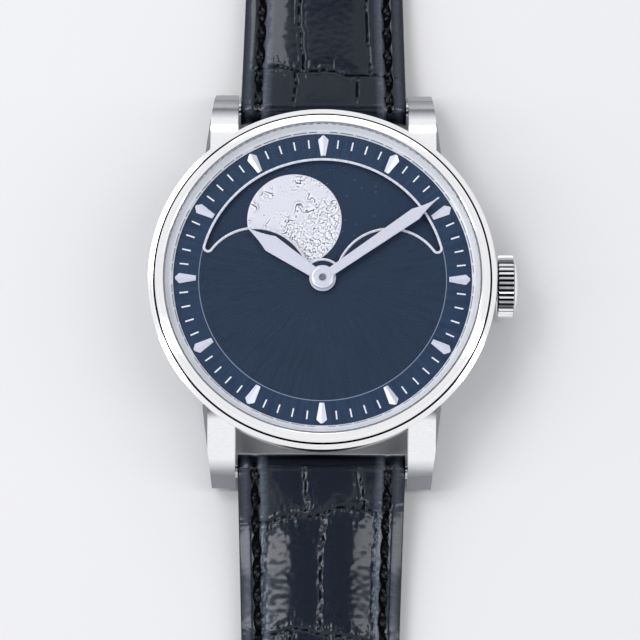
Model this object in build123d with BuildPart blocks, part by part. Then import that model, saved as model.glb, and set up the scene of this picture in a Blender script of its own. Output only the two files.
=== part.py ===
# Moon phase wristwatch, laid open on its back on a flat surface, in millimetres.
# The origin is on the hand axis where the case back meets that surface.
# +Z points out of the dial, +Y to 12 o'clock and +X to the crown.
from build123d import *
from math import acos, atan2, cos, degrees, hypot, pi, radians, sin, tau
import os

os.makedirs("parts", exist_ok=True)

# Running fits and clearances
overrun = 1.0
slip_fit = 0.03
running_gap = 0.06
soft_gap = 0.3
end_shake = 0.05

# Case: outer sizes and levels above the surface
case_radius = 21.0
bezel_groove_inset = 0.6
bezel_groove_radius = case_radius - bezel_groove_inset
bezel_groove_depth = 0.25
bezel_groove_width = 0.18
bezel_rim_drop = 0.87
bezel_width = 1.8
bezel_inner_radius = case_radius - bezel_width
bezel_height = 1.55
bezel_lip = 0.1
bezel_swell_share = 0.42
case_top = 8.6
case_bottom = 1.0
case_wall_inset = 0.5
case_wall_radius = case_radius - case_wall_inset
case_foot_inset = 1.6
case_foot_radius = case_radius - case_foot_inset
dial_seat_inset = 0.8
dial_seat_radius = bezel_inner_radius - dial_seat_inset
case_bore_inset = 0.6
case_bore_radius = dial_seat_radius - case_bore_inset
dial_seat_depth = 1.1

# Lugs
lug_gap = 20.8
lug_outer_half_width = 14.3
lug_tip_half_width = 13.2
lug_tip_height = 1.0
lug_tip_top = 4.2
lug_top_at_case = 8.1
lug_edge_bevel = 0.6
lug_end_slope = 1.1
lug_straight_share = 0.77

# Spring bars
bar_stand_off = 1.6
bar_reach = case_radius + bar_stand_off
lug_tip_wall = 1.9
lug_tip_reach = bar_reach + lug_tip_wall
bar_height = 3.0
bar_radius = 0.75
bar_tip_radius = 0.4
bar_tip_length = 0.8

# Case back, its crystal, gasket and screws
back_inset = 0.4
back_radius = case_foot_radius - back_inset
back_thickness = 1.6
back_ring_width = 3.8
back_window_radius = back_radius - back_ring_width
back_crystal_seat = 0.6
back_crystal_radius = back_window_radius + back_crystal_seat
back_crystal_thickness = 1.0
back_crystal_inset = 0.3
back_edge_bevel = 0.5
back_spigot_height = 0.9
gasket_section = 0.45
back_screw_count = 6
back_screw_inset = 0.6
back_screw_circle = back_radius - back_screw_inset
back_screw_radius = 0.5
back_screw_sink = 0.45
back_screw_shank_radius = 0.28
back_screw_slot = 0.22
back_screw_length = 2.2
back_screw_head = 0.4
back_screw_start = 30.0

# Crystal over the dial
crystal_gasket_wall = 0.2
crystal_radius = bezel_inner_radius - crystal_gasket_wall
crystal_bottom = 9.6
crystal_edge_thickness = 0.65
crystal_dome = 1.15
crystal_inner_dome = 0.75
crystal_swell_share = 0.5

# Dial and its flange ring
dial_inset = 1.0
dial_radius = bezel_inner_radius - dial_inset
dial_thickness = 0.4
dial_bottom = 8.2
dial_centre_hole = 1.5
chapter_width = 3.2
dial_step_radius = dial_radius - chapter_width
dial_step_depth = 0.06
flange_foot_inset = 1.2
flange_inner_radius = bezel_inner_radius - flange_foot_inset
flange_top_inset = 0.35
flange_top_radius = bezel_inner_radius - flange_top_inset
flange_step_inset = 0.8
flange_step_radius = bezel_inner_radius - flange_step_inset
flange_step_level = 9.1
flange_groove = 0.08
flange_foot = 0.12

# Moon aperture, an outline of five arcs about the hand axis
aperture_inset = 0.15
aperture_outer_radius = dial_step_radius - aperture_inset
aperture_centre_radius = 2.42
hump_outer_gap = 0.18
hump_inner_lap = 0.85
hump_outer_reach = aperture_outer_radius - hump_outer_gap
hump_inner_reach = aperture_centre_radius - hump_inner_lap
hump_offset = (hump_outer_reach + hump_inner_reach) / 2
hump_radius = (hump_outer_reach - hump_inner_reach) / 2
hump_drop = 0.3
aperture_tip_radius = 0.5
rim_width = 0.3
rim_height = 0.18
rim_bevel = 0.08

# Hour markers
marker_count = 12
marker_inset = 0.45
marker_point = 0.48
marker_length = 2.5
marker_outer_radius = dial_radius - marker_inset
marker_wide_radius = marker_outer_radius - marker_point
marker_inner_radius = marker_outer_radius - marker_length
marker_wide = 1.27
marker_inner_width = 0.58
marker_outer_width = 0.25
marker_height = 0.32

# Hands, with their angles clockwise from 12 o'clock at rest
hour_angle = 304.0
minute_angle = 54.7
hour_hand_clearance = 3.85
hour_hand_length = dial_step_radius - hour_hand_clearance
hour_tip_length = 3.55
hour_shoulder = hour_hand_length - hour_tip_length
hour_shoulder_width = 2.15
hour_root_width = 1.1
hour_hub_radius = 1.6
minute_hand_clearance = 0.22
minute_hand_length = marker_wide_radius - minute_hand_clearance
minute_tip_length = 3.35
minute_shoulder = minute_hand_length - minute_tip_length
minute_shoulder_width = 1.52
minute_root_width = 1.0
minute_hub_radius = 1.33
hand_thickness = 0.18
hour_hand_lift = 0.35
minute_hand_lift = 0.8
hub_cap_height = 0.2
hand_hollow_share = 0.45
hand_waist_share = 0.42
hour_pipe_radius = 1.05
centre_arbor_radius = 0.41

# Moon disc, and the toothed wheel under it
moon_inset = 0.85
moon_radius = hump_radius - moon_inset
moon_set_out = 0.03
moon_orbit = hump_offset + moon_set_out
moon_angle = 25.0
moon_thickness = 0.18
moon_disc_lap = 0.3
moon_disc_radius = dial_step_radius + moon_disc_lap
moon_disc_bottom = 7.65
moon_disc_thickness = 0.3
moon_teeth = 135
moon_pinion_teeth = 12
moon_step_pinion_teeth = 8
moon_first_teeth = 48
moon_second_teeth = 56
moon_module = 0.11
moon_wheel_thickness = 0.22
moon_edge_bevel = 0.06

# Movement plates, levels and radii
plate_inset = 0.8
plate_radius = case_bore_radius - plate_inset
plate_top = 6.5
plate_bottom = 5.3
motion_recess_radius = 5.7
motion_recess_depth = 0.6
bridge_inset = 0.6
bridge_radius = plate_radius - bridge_inset
bridge_foot_width = 1.8
bridge_foot_inner = bridge_radius - bridge_foot_width
bridge_inner_face = 3.0
bridge_outer_face = 2.0
bridge_bevel = 0.12
bridge_gap = 0.2
barrel_screw_bearings = (12.0, 60.0, 104.0)
train_screw_bearings = (128.0, 175.0, 240.0)
cock_screw_bearing = 299.0
winding_sink = 0.4
casing_ring_height = 1.6
spacer_gap = 0.4
spacer_inner_radius = moon_disc_radius + spacer_gap

# Crown, stem and crown tube
crown_axis_height = 5.0
crown_radius = 3.75
crown_length = 2.5
crown_flutes = 36
crown_flute_half = 0.26
crown_flute_turn = 45.0
crown_cap_length = 0.4
crown_round = 0.5
crown_gap = 0.1
crown_start = case_radius + crown_gap
crown_bore_radius = 1.9
crown_bore_depth = 1.5
tube_radius = 1.25
tube_bore = 0.8
tube_inset = 0.1
tube_inner_end = case_bore_radius + tube_inset
tube_reach = 1.2
tube_outer_end = case_radius + tube_reach
stem_radius = 0.5
stem_square = 0.62
stem_inner_end = 8.6
winding_pinion_radius = 1.85
winding_pinion_start = 9.35
winding_pinion_length = 1.3
winding_pinion_teeth = 20

# Motion work: tooth counts, modules and levels
cannon_teeth = 12
minute_wheel_teeth = 36
minute_pinion_teeth = 10
hour_wheel_teeth = 40
cannon_module = 0.125
hour_module = 0.12
minute_wheel_bearing = 330.0
moon_first_bearing = 300.0
wheel_thickness = 0.2
pinion_thickness = 0.36
motion_level = 6.0
hour_wheel_level = 6.4
moon_first_level = 6.72
moon_second_level = 7.08
cannon_seat_height = 1.2
minute_pinion_height = 0.64
hour_collar_radius = 1.45

# Going train: tooth counts, modules, bearings and levels
barrel_teeth = 72
barrel_module = 0.165
centre_pinion_teeth = 10
centre_teeth = 64
centre_module = 0.13
third_pinion_teeth = 8
third_teeth = 60
third_module = 0.12
fourth_pinion_teeth = 8
fourth_teeth = 70
fourth_module = 0.105
escape_pinion_teeth = 7
escape_teeth = 15
escape_radius = 2.6
barrel_bearing = 52.0
third_bearing = 190.0
fourth_bearing = 265.0
escape_bearing = 320.0
barrel_bottom = 3.6
barrel_height = 1.55
barrel_flange = 0.4
barrel_drum_radius = 5.55
centre_level = 3.22
centre_pinion_level = 4.7
third_level = 4.2
fourth_level = 3.7
escape_level = 4.32
centre_pinion_height = 0.5
third_pinion_level = 3.15
fourth_pinion_level = 4.12
escape_pinion_level = 3.62
escape_root_share = 0.78
escape_back_share = 0.55
escape_land = 1.6
escape_window_radius = 0.5
escape_window_gap = 0.06
escape_window_count = 4
arbor_radius = 0.22
pivot_radius = 0.12
pivot_length = 0.4
wheel_hub_radius = 0.55
spoke_width = 0.42
spoke_count = 5
tooth_backlash = 0.06

# Winding work on the barrel bridge
ratchet_teeth = 48
crown_wheel_teeth = 30
winding_module = 0.17
winding_wheel_thickness = 0.3
crown_wheel_hub_radius = 2.2
click_length = 2.6
click_width = 0.7
click_reach = 1.0
click_place_bearing = 118.0
click_lean = -114.0
click_pin_radius = 0.3
ratchet_hole_radius = 0.45
ratchet_screw_height = 0.25
winding_pinion_module = 0.172
stem_shoulder = 0.3
crown_face = 0.4
barrel_wall = 0.2
mainspring_inner = 0.95
mainspring_turns = 6
mainspring_width = 0.12

# Balance and escapement
balance_radius = 4.3
balance_rim_width = 0.5
balance_rim_height = 0.4
pallet_distance = 3.15
pallet_bearing = 10.0
balance_distance = 3.9
balance_bearing = 350.0
hairspring_outer = 2.9
hairspring_inner = 0.6
hairspring_turns = 4
hairspring_level = 2.92
stud_radius = 0.25
stud_bearing = -62.0
balance_level = 3.25
poising_screws = 8
poising_start = 22.5
poising_inset = 0.1
roller_level = 3.98
roller_radius = 0.75
impulse_pin_radius = 0.1
impulse_pin_orbit = 0.6
stone_spread = 30.0
stone_gap = 0.2
stone_length = 0.6
stone_width = 0.25
fork_arm_width = 0.36
fork_lever_width = 0.26
fork_reach = 3.1
horn_length = 0.35
horn_offset = 0.22
horn_width = 0.12
hairspring_width = 0.08
hairspring_height = 0.18

# Jewels and movement screws
jewel_radius = 0.7
jewel_thickness = 0.3
movement_screw_radius = 0.75
movement_screw_head = 0.3
movement_screw_slot = 0.2
movement_screw_shank = 0.35
movement_screw_length = 2.6
screw_edge = 0.35
barrel_arbor_radius = 0.6
winding_window_gap = 0.2
stem_room = 0.9
cock_thickness = 0.6
cock_head_radius = 1.6
cock_foot_inner = 14.2
pallet_bridge_level = 3.8
pallet_bridge_thickness = 0.3
pallet_foot_reach = 2.6
pallet_foot_spread = 78.0
pallet_foot_radius = 0.5

# Strap: two padded halves, laid flat
strap_lug_width = 20.2
strap_end_width = 18.0
strap_bar_thickness = 4.4
strap_drop = 0.8
strap_taper_length = 36.0
strap_border = 2.1
strap_border_rise = 0.12
buckle_side_length = 75.0
tail_side_length = 115.0
strap_hole_count = 7
strap_hole_pitch = 6.5
strap_hole_radius = 0.85
strap_first_hole = 28.0
strap_tip_length = 10.0
strap_tip_share = 0.3
# Each row: distance along the half, thickness and edge height, all as shares
buckle_side_shares = (
    (0.0, 1.0, 0.92), (0.07, 0.97, 0.74), (0.15, 0.92, 0.68), (0.28, 0.83, 0.66),
    (0.44, 0.76, 0.68), (0.54, 0.7, 0.72), (0.91, 0.61, 0.84), (1.0, 0.59, 0.9),
)
tail_side_shares = (
    (0.0, 1.0, 0.92), (0.045, 0.97, 0.74), (0.1, 0.92, 0.68), (0.18, 0.83, 0.66),
    (0.3, 0.74, 0.68), (0.45, 0.64, 0.76), (0.7, 0.6, 0.84), (1.0, 0.57, 0.86),
)

# Buckle and keepers
buckle_inner_width = 18.6
buckle_wire = 2.2
buckle_thickness = 2.4
buckle_reach = 11.0
buckle_corner = 2.4
buckle_round = 0.4
buckle_bar_radius = 0.7
tongue_width = 2.0
tongue_thickness = 1.0
tongue_eye_radius = 1.15
tongue_slot_length = 4.0
tongue_tip_share = 0.6
keeper_length = 5.0
keeper_wall = 1.0
keeper_play = 0.1
fixed_keeper_setback = 10.0
free_keeper_setback = 24.0


# A point at a bearing, counted anticlockwise from +X.
def polar(radius, bearing):
    return (radius * cos(radians(bearing)), radius * sin(radians(bearing)))


# Moves a point by a distance along a bearing.
def step_from(start, distance, bearing):
    reach = polar(distance, bearing)
    return (start[0] + reach[0], start[1] + reach[1])


# The corners of a straight bar between two points.
def bar_points(start, end, width):
    length = hypot(end[0] - start[0], end[1] - start[1])
    across = ((start[1] - end[1]) / length * width / 2, (end[0] - start[0]) / length * width / 2)
    return [
        (start[0] + across[0], start[1] + across[1]),
        (end[0] + across[0], end[1] + across[1]),
        (end[0] - across[0], end[1] - across[1]),
        (start[0] - across[0], start[1] - across[1]),
    ]


# How far a dome of a given half width and rise has dropped at a reach from its middle.
def dome_drop(half_width, rise, reach):
    radius = (half_width**2 + rise**2) / (2 * rise)
    return radius - (radius**2 - reach**2) ** 0.5


# The radius of a gear's pitch circle.
def pitch_radius(teeth, module):
    return teeth * module / 2


# The distance between two meshing gears.
def spacing(teeth_a, teeth_b, module):
    return pitch_radius(teeth_a + teeth_b, module)


# The bearing of a tooth on the second gear that lets it mesh with the first.
def meshing_phase(phase, teeth_a, bearing, teeth_b):
    return bearing + 180 - (phase - bearing) * teeth_a / teeth_b + 180 / teeth_b


# The corners of a wheel's pointed teeth, three to a tooth.
def wheel_points(teeth, module, phase):
    radius = pitch_radius(teeth, module)
    tip = radius + tooth_height_share * module
    root = radius - tooth_depth_share * module
    half_root = (pi * module / 2 * tooth_root_share - tooth_backlash / 2) / radius
    points = []
    for number in range(teeth):
        middle = radians(phase) + number * tau / teeth
        points.append((root * cos(middle - half_root), root * sin(middle - half_root)))
        points.append((tip * cos(middle), tip * sin(middle)))
        points.append((root * cos(middle + half_root), root * sin(middle + half_root)))
    return points


# The corners of a pinion's leaves, four to a leaf.
def pinion_points(teeth, module, phase):
    radius = pitch_radius(teeth, module)
    tip = radius + leaf_height_share * module
    root = radius - tooth_depth_share * module
    half_root = pi * module * leaf_root_share / radius
    half_tip = pi * module * leaf_tip_share / radius
    points = []
    for number in range(teeth):
        middle = radians(phase) + number * tau / teeth
        points.append((root * cos(middle - half_root), root * sin(middle - half_root)))
        points.append((tip * cos(middle - half_tip), tip * sin(middle - half_tip)))
        points.append((tip * cos(middle + half_tip), tip * sin(middle + half_tip)))
        points.append((root * cos(middle + half_root), root * sin(middle + half_root)))
    return points


# One arbor in half section: a turned shaft with a thinner pivot at each end.
def arbor_outline(low, high):
    return [
        (0, low),
        (pivot_radius, low),
        (pivot_radius, low + pivot_length),
        (arbor_radius, low + pivot_length),
        (arbor_radius, high - pivot_length),
        (pivot_radius, high - pivot_length),
        (pivot_radius, high),
        (0, high),
    ]


# The face between two spokes of a wheel.
def spoke_opening(rim, bearing):
    half_angle = degrees(pi / spoke_count - spoke_width / 2 / rim)
    inner = wheel_hub_radius + spoke_width
    half_inner = degrees(pi / spoke_count - spoke_width / 2 / inner)
    low_in = polar(inner, bearing - half_inner)
    low_out = polar(rim, bearing - half_angle)
    high_out = polar(rim, bearing + half_angle)
    high_in = polar(inner, bearing + half_inner)
    with BuildSketch() as opening:
        with BuildLine():
            Line(low_in, low_out)
            ThreePointArc(low_out, polar(rim, bearing), high_out)
            Line(high_out, high_in)
            Line(high_in, low_in)
        make_face()
    return opening.sketch


# A spoked wheel, its pinion and its arbor, turned about one axis.
def wheel_on_arbor(label, centre, wheel, pinion, arbor):
    teeth, module, phase, level = wheel
    pinion_teeth, pinion_module, pinion_phase, pinion_level, pinion_height = pinion
    rim = pitch_radius(teeth, module) * rim_inner_share
    with BuildPart() as made:
        with BuildSketch(Plane.XY.offset(level)):
            Polygon(*wheel_points(teeth, module, phase), align=None)
        extrude(amount=wheel_thickness)
        for number in range(spoke_count):
            extrude(Plane.XY.offset(level) * spoke_opening(rim, 360 / spoke_count * number),
                    amount=wheel_thickness, mode=Mode.SUBTRACT)
        with BuildSketch(Plane.XY.offset(pinion_level)):
            Polygon(*pinion_points(pinion_teeth, pinion_module, pinion_phase), align=None)
        extrude(amount=pinion_height)
        with BuildSketch(Plane.XZ):
            Polygon(*arbor_outline(*arbor), align=None)
        revolve(axis=Axis.Z)
    made.part = made.part.moved(Location((centre[0], centre[1], 0)))
    made.part.label = label
    return made


# The points where the arcs of the moon aperture meet, grown outwards by a margin.
def aperture_outline(margin):
    outer = aperture_outer_radius + margin
    centre_arc = aperture_centre_radius - margin
    hump = hump_radius - margin
    tip = aperture_tip_radius + margin
    hump_x, hump_y = hump_offset, -hump_drop
    hump_distance = hypot(hump_x, hump_y)
    hump_bearing = atan2(hump_y, hump_x)
    # Each tip circle touches the outer arc from inside and the hump from outside
    tip_orbit = outer - tip
    swing = acos((tip_orbit**2 + hump_distance**2 - (hump + tip) ** 2)
                 / (2 * tip_orbit * hump_distance))
    tip_bearing = hump_bearing + swing
    tip_x, tip_y = tip_orbit * cos(tip_bearing), tip_orbit * sin(tip_bearing)
    outer_touch = (outer * cos(tip_bearing), outer * sin(tip_bearing))
    inward = atan2(hump_y - tip_y, hump_x - tip_x)
    hump_touch = (tip_x + tip * cos(inward), tip_y + tip * sin(inward))
    low = (tip_bearing + inward) / 2
    tip_middle = (tip_x + tip * cos(low), tip_y + tip * sin(low))
    # The humps meet the arc round the hands
    spread = acos((centre_arc**2 + hump_distance**2 - hump**2) / (2 * centre_arc * hump_distance))
    meet_bearing = hump_bearing + spread
    meet = (centre_arc * cos(meet_bearing), centre_arc * sin(meet_bearing))
    start = atan2(hump_touch[1] - hump_y, hump_touch[0] - hump_x)
    stop = atan2(meet[1] - hump_y, meet[0] - hump_x)
    middle = (start + stop) / 2
    hump_middle = (hump_x + hump * cos(middle), hump_y + hump * sin(middle))
    return meet, hump_middle, hump_touch, tip_middle, outer_touch, (0, outer), (0, centre_arc)


def mirrored(point):
    return (-point[0], point[1])


# The moon aperture as one face of arcs.
def aperture_face(margin):
    meet, hump_middle, hump_touch, tip_middle, outer_touch, top, low = aperture_outline(margin)
    with BuildSketch() as outline:
        with BuildLine():
            ThreePointArc(mirrored(meet), low, meet)
            ThreePointArc(meet, hump_middle, hump_touch)
            ThreePointArc(hump_touch, tip_middle, outer_touch)
            ThreePointArc(outer_touch, top, mirrored(outer_touch))
            ThreePointArc(mirrored(outer_touch), mirrored(tip_middle), mirrored(hump_touch))
            ThreePointArc(mirrored(hump_touch), mirrored(hump_middle), mirrored(meet))
        make_face()
    return outline.sketch


# Tooth shapes as shares of the module, and wheel rims as a share of the pitch radius
tooth_height_share = 0.9
tooth_depth_share = 1.35
tooth_root_share = 0.98
leaf_height_share = 0.75
leaf_root_share = 0.26
leaf_tip_share = 0.13
rim_inner_share = 0.8

# Case middle with its four lugs
lug_root_share = 0.6
lug_crest_share = 0.86
lug_crest_height_share = 0.86
lug_thickness = lug_outer_half_width - lug_gap / 2
lug_root = case_wall_radius * lug_root_share
with BuildPart() as case_middle:
    with BuildSketch(Plane.YZ.offset(lug_gap / 2)):
        with BuildLine():
            foot = (lug_tip_reach - lug_end_slope, lug_tip_height)
            toe = (lug_tip_reach, lug_tip_height + lug_end_slope)
            brow = (lug_tip_reach - lug_end_slope, lug_tip_top)
            crest = (bar_reach * lug_crest_share, lug_top_at_case * lug_crest_height_share)
            Line((lug_root, case_bottom), foot)
            Line(foot, toe)
            Line(toe, brow)
            ThreePointArc(brow, crest, (lug_root, lug_top_at_case))
            Line((lug_root, lug_top_at_case), (lug_root, case_bottom))
        make_face()
    extrude(amount=lug_thickness)
    # The outer flanks close in towards the tips
    with BuildSketch(Plane.XY):
        Polygon(
            (lug_gap / 2, lug_root),
            (lug_outer_half_width, lug_root),
            (lug_outer_half_width, case_wall_radius * lug_straight_share),
            (lug_tip_half_width, lug_tip_reach),
            (lug_gap / 2, lug_tip_reach),
            align=None,
        )
    extrude(amount=case_top, mode=Mode.INTERSECT)
    chamfer(case_middle.edges().filter_by(GeomType.CIRCLE).sort_by(Axis.X)[-1], lug_edge_bevel)
    mirror(about=Plane.XZ)
    mirror(about=Plane.YZ)
    with BuildSketch(Plane.XZ):
        with BuildLine():
            Line((0, case_bottom), (case_foot_radius, case_bottom))
            ThreePointArc(
                (case_foot_radius, case_bottom),
                (case_wall_radius, (case_bottom + case_top) / 2),
                (case_wall_radius, case_top),
            )
            Line((case_wall_radius, case_top), (0, case_top))
            Line((0, case_top), (0, case_bottom))
        make_face()
    revolve(axis=Axis.Z)
    # Bore for the movement, a wider seat for the dial and one for the case back
    with BuildSketch(Plane.XY.offset(case_bottom)):
        Circle(case_bore_radius)
    extrude(amount=case_top - case_bottom, mode=Mode.SUBTRACT)
    with BuildSketch(Plane.XY.offset(case_top - dial_seat_depth)):
        Circle(dial_seat_radius)
    extrude(amount=dial_seat_depth, mode=Mode.SUBTRACT)
    with BuildSketch(Plane.XY.offset(case_bottom)):
        Circle(back_radius + slip_fit)
    extrude(amount=back_thickness - case_bottom, mode=Mode.SUBTRACT)
    # Crown tube bore through the side at 3 o'clock, with its flat sink
    with BuildSketch(Plane.YZ.offset(case_bore_radius - overrun)):
        with Locations((0, crown_axis_height)):
            Circle(tube_radius)
    extrude(amount=case_radius - case_bore_radius + 2 * overrun, mode=Mode.SUBTRACT)
    # Blind holes in the lugs for the spring bars' tips
    for side in (-1, 1):
        with BuildSketch(Plane.YZ.offset(-lug_gap / 2 - bar_tip_length)):
            with Locations((side * bar_reach, bar_height)):
                Circle(bar_tip_radius + slip_fit)
        extrude(amount=lug_gap + 2 * bar_tip_length, mode=Mode.SUBTRACT)
    # Tapped holes for the case back's screws
    with BuildSketch(Plane.XY.offset(back_thickness)):
        with PolarLocations(back_screw_circle, back_screw_count,
                            start_angle=back_screw_start):
            Circle(back_screw_shank_radius)
    extrude(amount=back_screw_length, mode=Mode.SUBTRACT)
case_middle.part.label = "case_middle"

# Bezel: a sloping polished band with a fine groove and an outer step
bezel_top = case_top + bezel_height
with BuildPart() as bezel:
    with BuildSketch(Plane.XZ):
        with BuildLine():
            step_top = bezel_top - bezel_rim_drop
            groove_inner_radius = bezel_groove_radius - bezel_groove_width
            Polyline(
                (bezel_inner_radius, bezel_top - bezel_lip),
                (bezel_inner_radius, case_top),
                (case_radius - bezel_lip, case_top),
                (case_radius, case_top + bezel_lip),
                (case_radius, step_top - bezel_groove_depth),
                (bezel_groove_radius, step_top - bezel_lip),
                (bezel_groove_radius, step_top - bezel_groove_depth),
                (groove_inner_radius, step_top - bezel_groove_depth),
                (groove_inner_radius, step_top),
            )
            ThreePointArc(
                (groove_inner_radius, step_top),
                ((groove_inner_radius + bezel_inner_radius) / 2,
                 bezel_top - bezel_rim_drop * bezel_swell_share),
                (bezel_inner_radius + bezel_lip, bezel_top),
            )
            Line((bezel_inner_radius + bezel_lip, bezel_top),
                 (bezel_inner_radius, bezel_top - bezel_lip))
        make_face()
    revolve(axis=Axis.Z)
bezel.part.label = "bezel"

# Case back: a ring with a window, held by screws
spigot_radius = case_bore_radius - slip_fit
with BuildPart() as case_back:
    with BuildSketch(Plane.XY):
        Circle(back_radius)
    extrude(amount=back_thickness)
    chamfer(case_back.edges().filter_by(GeomType.CIRCLE).sort_by(Axis.Z)[0], back_edge_bevel)
    with BuildSketch(Plane.XY.offset(back_thickness)):
        Circle(spigot_radius)
    extrude(amount=back_spigot_height)
    with BuildSketch(Plane.XY.offset(back_thickness)):
        Circle(bridge_radius + bridge_gap)
    extrude(amount=back_spigot_height, mode=Mode.SUBTRACT)
    with BuildSketch(Plane.XY):
        Circle(back_window_radius)
    extrude(amount=back_thickness, mode=Mode.SUBTRACT)
    # Seat for the crystal, open towards the movement
    with BuildSketch(Plane.XY.offset(back_crystal_inset)):
        Circle(back_crystal_radius + slip_fit)
    extrude(amount=back_thickness, mode=Mode.SUBTRACT)
    # Groove round the spigot for the gasket
    with BuildSketch(Plane.XY.offset(back_thickness)):
        Circle(spigot_radius)
        Circle(spigot_radius - gasket_section, mode=Mode.SUBTRACT)
    extrude(amount=gasket_section, mode=Mode.SUBTRACT)
    with BuildSketch(Plane.XY):
        with PolarLocations(back_screw_circle, back_screw_count,
                            start_angle=back_screw_start):
            Circle(back_screw_radius + slip_fit)
    extrude(amount=back_screw_sink + back_screw_head, mode=Mode.SUBTRACT)
    with BuildSketch(Plane.XY):
        with PolarLocations(back_screw_circle, back_screw_count,
                            start_angle=back_screw_start):
            Circle(back_screw_shank_radius)
    extrude(amount=back_thickness, mode=Mode.SUBTRACT)
case_back.part.label = "case_back"

with BuildPart() as case_back_crystal:
    with BuildSketch(Plane.XY):
        Circle(back_window_radius - slip_fit)
    extrude(amount=back_crystal_inset)
    with BuildSketch(Plane.XY.offset(back_crystal_inset)):
        Circle(back_crystal_radius)
    extrude(amount=back_crystal_thickness)
case_back_crystal.part.label = "case_back_crystal"

with BuildPart() as case_back_gasket:
    with BuildSketch(Plane.XY.offset(back_thickness)):
        Circle(spigot_radius)
        Circle(spigot_radius - gasket_section, mode=Mode.SUBTRACT)
    extrude(amount=gasket_section)
case_back_gasket.part.label = "case_back_gasket"

with BuildPart() as case_back_screws:
    with BuildSketch(Plane.XY.offset(back_screw_sink)):
        with PolarLocations(back_screw_circle, back_screw_count,
                            start_angle=back_screw_start):
            Circle(back_screw_radius)
    extrude(amount=back_screw_head)
    with BuildSketch(Plane.XY.offset(back_screw_sink)):
        with PolarLocations(back_screw_circle, back_screw_count,
                            start_angle=back_screw_start):
            Circle(back_screw_shank_radius)
    extrude(amount=back_screw_length)
    with BuildSketch(Plane.XY.offset(back_screw_sink)):
        with PolarLocations(back_screw_circle, back_screw_count,
                            start_angle=back_screw_start):
            Rectangle(2 * back_screw_radius + slip_fit, back_screw_slot)
    extrude(amount=back_screw_slot, mode=Mode.SUBTRACT)
case_back_screws.part.label = "case_back_screws"

# Domed crystal, its gasket and the flange ring that slopes down to the dial
with BuildPart() as crystal:
    with BuildSketch(Plane.XZ):
        with BuildLine():
            edge_top = crystal_bottom + crystal_edge_thickness
            swell = crystal_radius * crystal_swell_share
            Line((0, crystal_bottom + crystal_inner_dome), (0, edge_top + crystal_dome))
            ThreePointArc(
                (0, edge_top + crystal_dome),
                (swell, edge_top + crystal_dome - dome_drop(crystal_radius, crystal_dome, swell)),
                (crystal_radius, edge_top),
            )
            Line((crystal_radius, edge_top), (crystal_radius, crystal_bottom))
            ThreePointArc(
                (crystal_radius, crystal_bottom),
                (swell, crystal_bottom + crystal_inner_dome
                 - dome_drop(crystal_radius, crystal_inner_dome, swell)),
                (0, crystal_bottom + crystal_inner_dome),
            )
        make_face()
    revolve(axis=Axis.Z)
crystal.part.label = "crystal"

with BuildPart() as crystal_gasket:
    with BuildSketch(Plane.XY.offset(crystal_bottom)):
        Circle(bezel_inner_radius)
        Circle(crystal_radius, mode=Mode.SUBTRACT)
    extrude(amount=bezel_top - bezel_lip - crystal_bottom)
crystal_gasket.part.label = "crystal_gasket"

dial_top = dial_bottom + dial_thickness
with BuildPart() as flange_ring:
    with BuildSketch(Plane.XZ):
        Polygon(
            (flange_inner_radius, dial_top),
            (bezel_inner_radius - slip_fit, dial_top),
            (bezel_inner_radius - slip_fit, crystal_bottom),
            (flange_top_radius, crystal_bottom),
            (flange_step_radius, flange_step_level),
            (flange_step_radius - flange_groove, flange_step_level - flange_groove / 2),
            (flange_inner_radius, dial_top + flange_foot),
            align=None,
        )
    revolve(axis=Axis.Z)
flange_ring.part.label = "flange_ring"

# Dial: a plate with the moon aperture, a raised chapter band and the hands' hole
with BuildPart() as dial_plate:
    with BuildSketch(Plane.XY.offset(dial_bottom)):
        Circle(dial_radius)
        Circle(dial_centre_hole, mode=Mode.SUBTRACT)
    extrude(amount=dial_thickness)
    with BuildSketch(Plane.XY.offset(dial_top - dial_step_depth)):
        Circle(dial_step_radius)
    extrude(amount=dial_step_depth, mode=Mode.SUBTRACT)
    extrude(Plane.XY.offset(dial_bottom) * aperture_face(0), amount=dial_thickness,
            mode=Mode.SUBTRACT)
dial_plate.part.label = "dial_plate"

# Polished rim that frames the aperture
with BuildPart() as aperture_rim:
    rim_bottom = dial_top - dial_step_depth
    extrude(Plane.XY.offset(rim_bottom) * aperture_face(rim_width / 2), amount=rim_height)
    extrude(Plane.XY.offset(rim_bottom) * aperture_face(-rim_width / 2), amount=rim_height,
            mode=Mode.SUBTRACT)
    chamfer(aperture_rim.faces().sort_by(Axis.Z)[-1].edges(), rim_bevel)
aperture_rim.part.label = "aperture_rim"

# Hour markers: twelve faceted wedges with a ridge along the middle
with BuildPart() as marker:
    with BuildSketch(Plane.XY.offset(dial_top)):
        Polygon(
            (-marker_inner_width / 2, marker_inner_radius),
            (marker_inner_width / 2, marker_inner_radius),
            (marker_wide / 2, marker_wide_radius),
            (marker_outer_width / 2, marker_outer_radius),
            (-marker_outer_width / 2, marker_outer_radius),
            (-marker_wide / 2, marker_wide_radius),
            align=None,
        )
    extrude(amount=marker_height)
    with BuildSketch(Plane.XZ.offset(-marker_outer_radius)):
        Polygon(
            (-marker_wide, dial_top - marker_height),
            (marker_wide, dial_top - marker_height),
            (0, dial_top + marker_height),
            align=None,
        )
    extrude(amount=marker_outer_radius - marker_inner_radius, mode=Mode.INTERSECT)
with BuildPart() as hour_markers:
    with PolarLocations(0, marker_count):
        add(marker.part)
hour_markers.part.label = "hour_markers"


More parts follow.
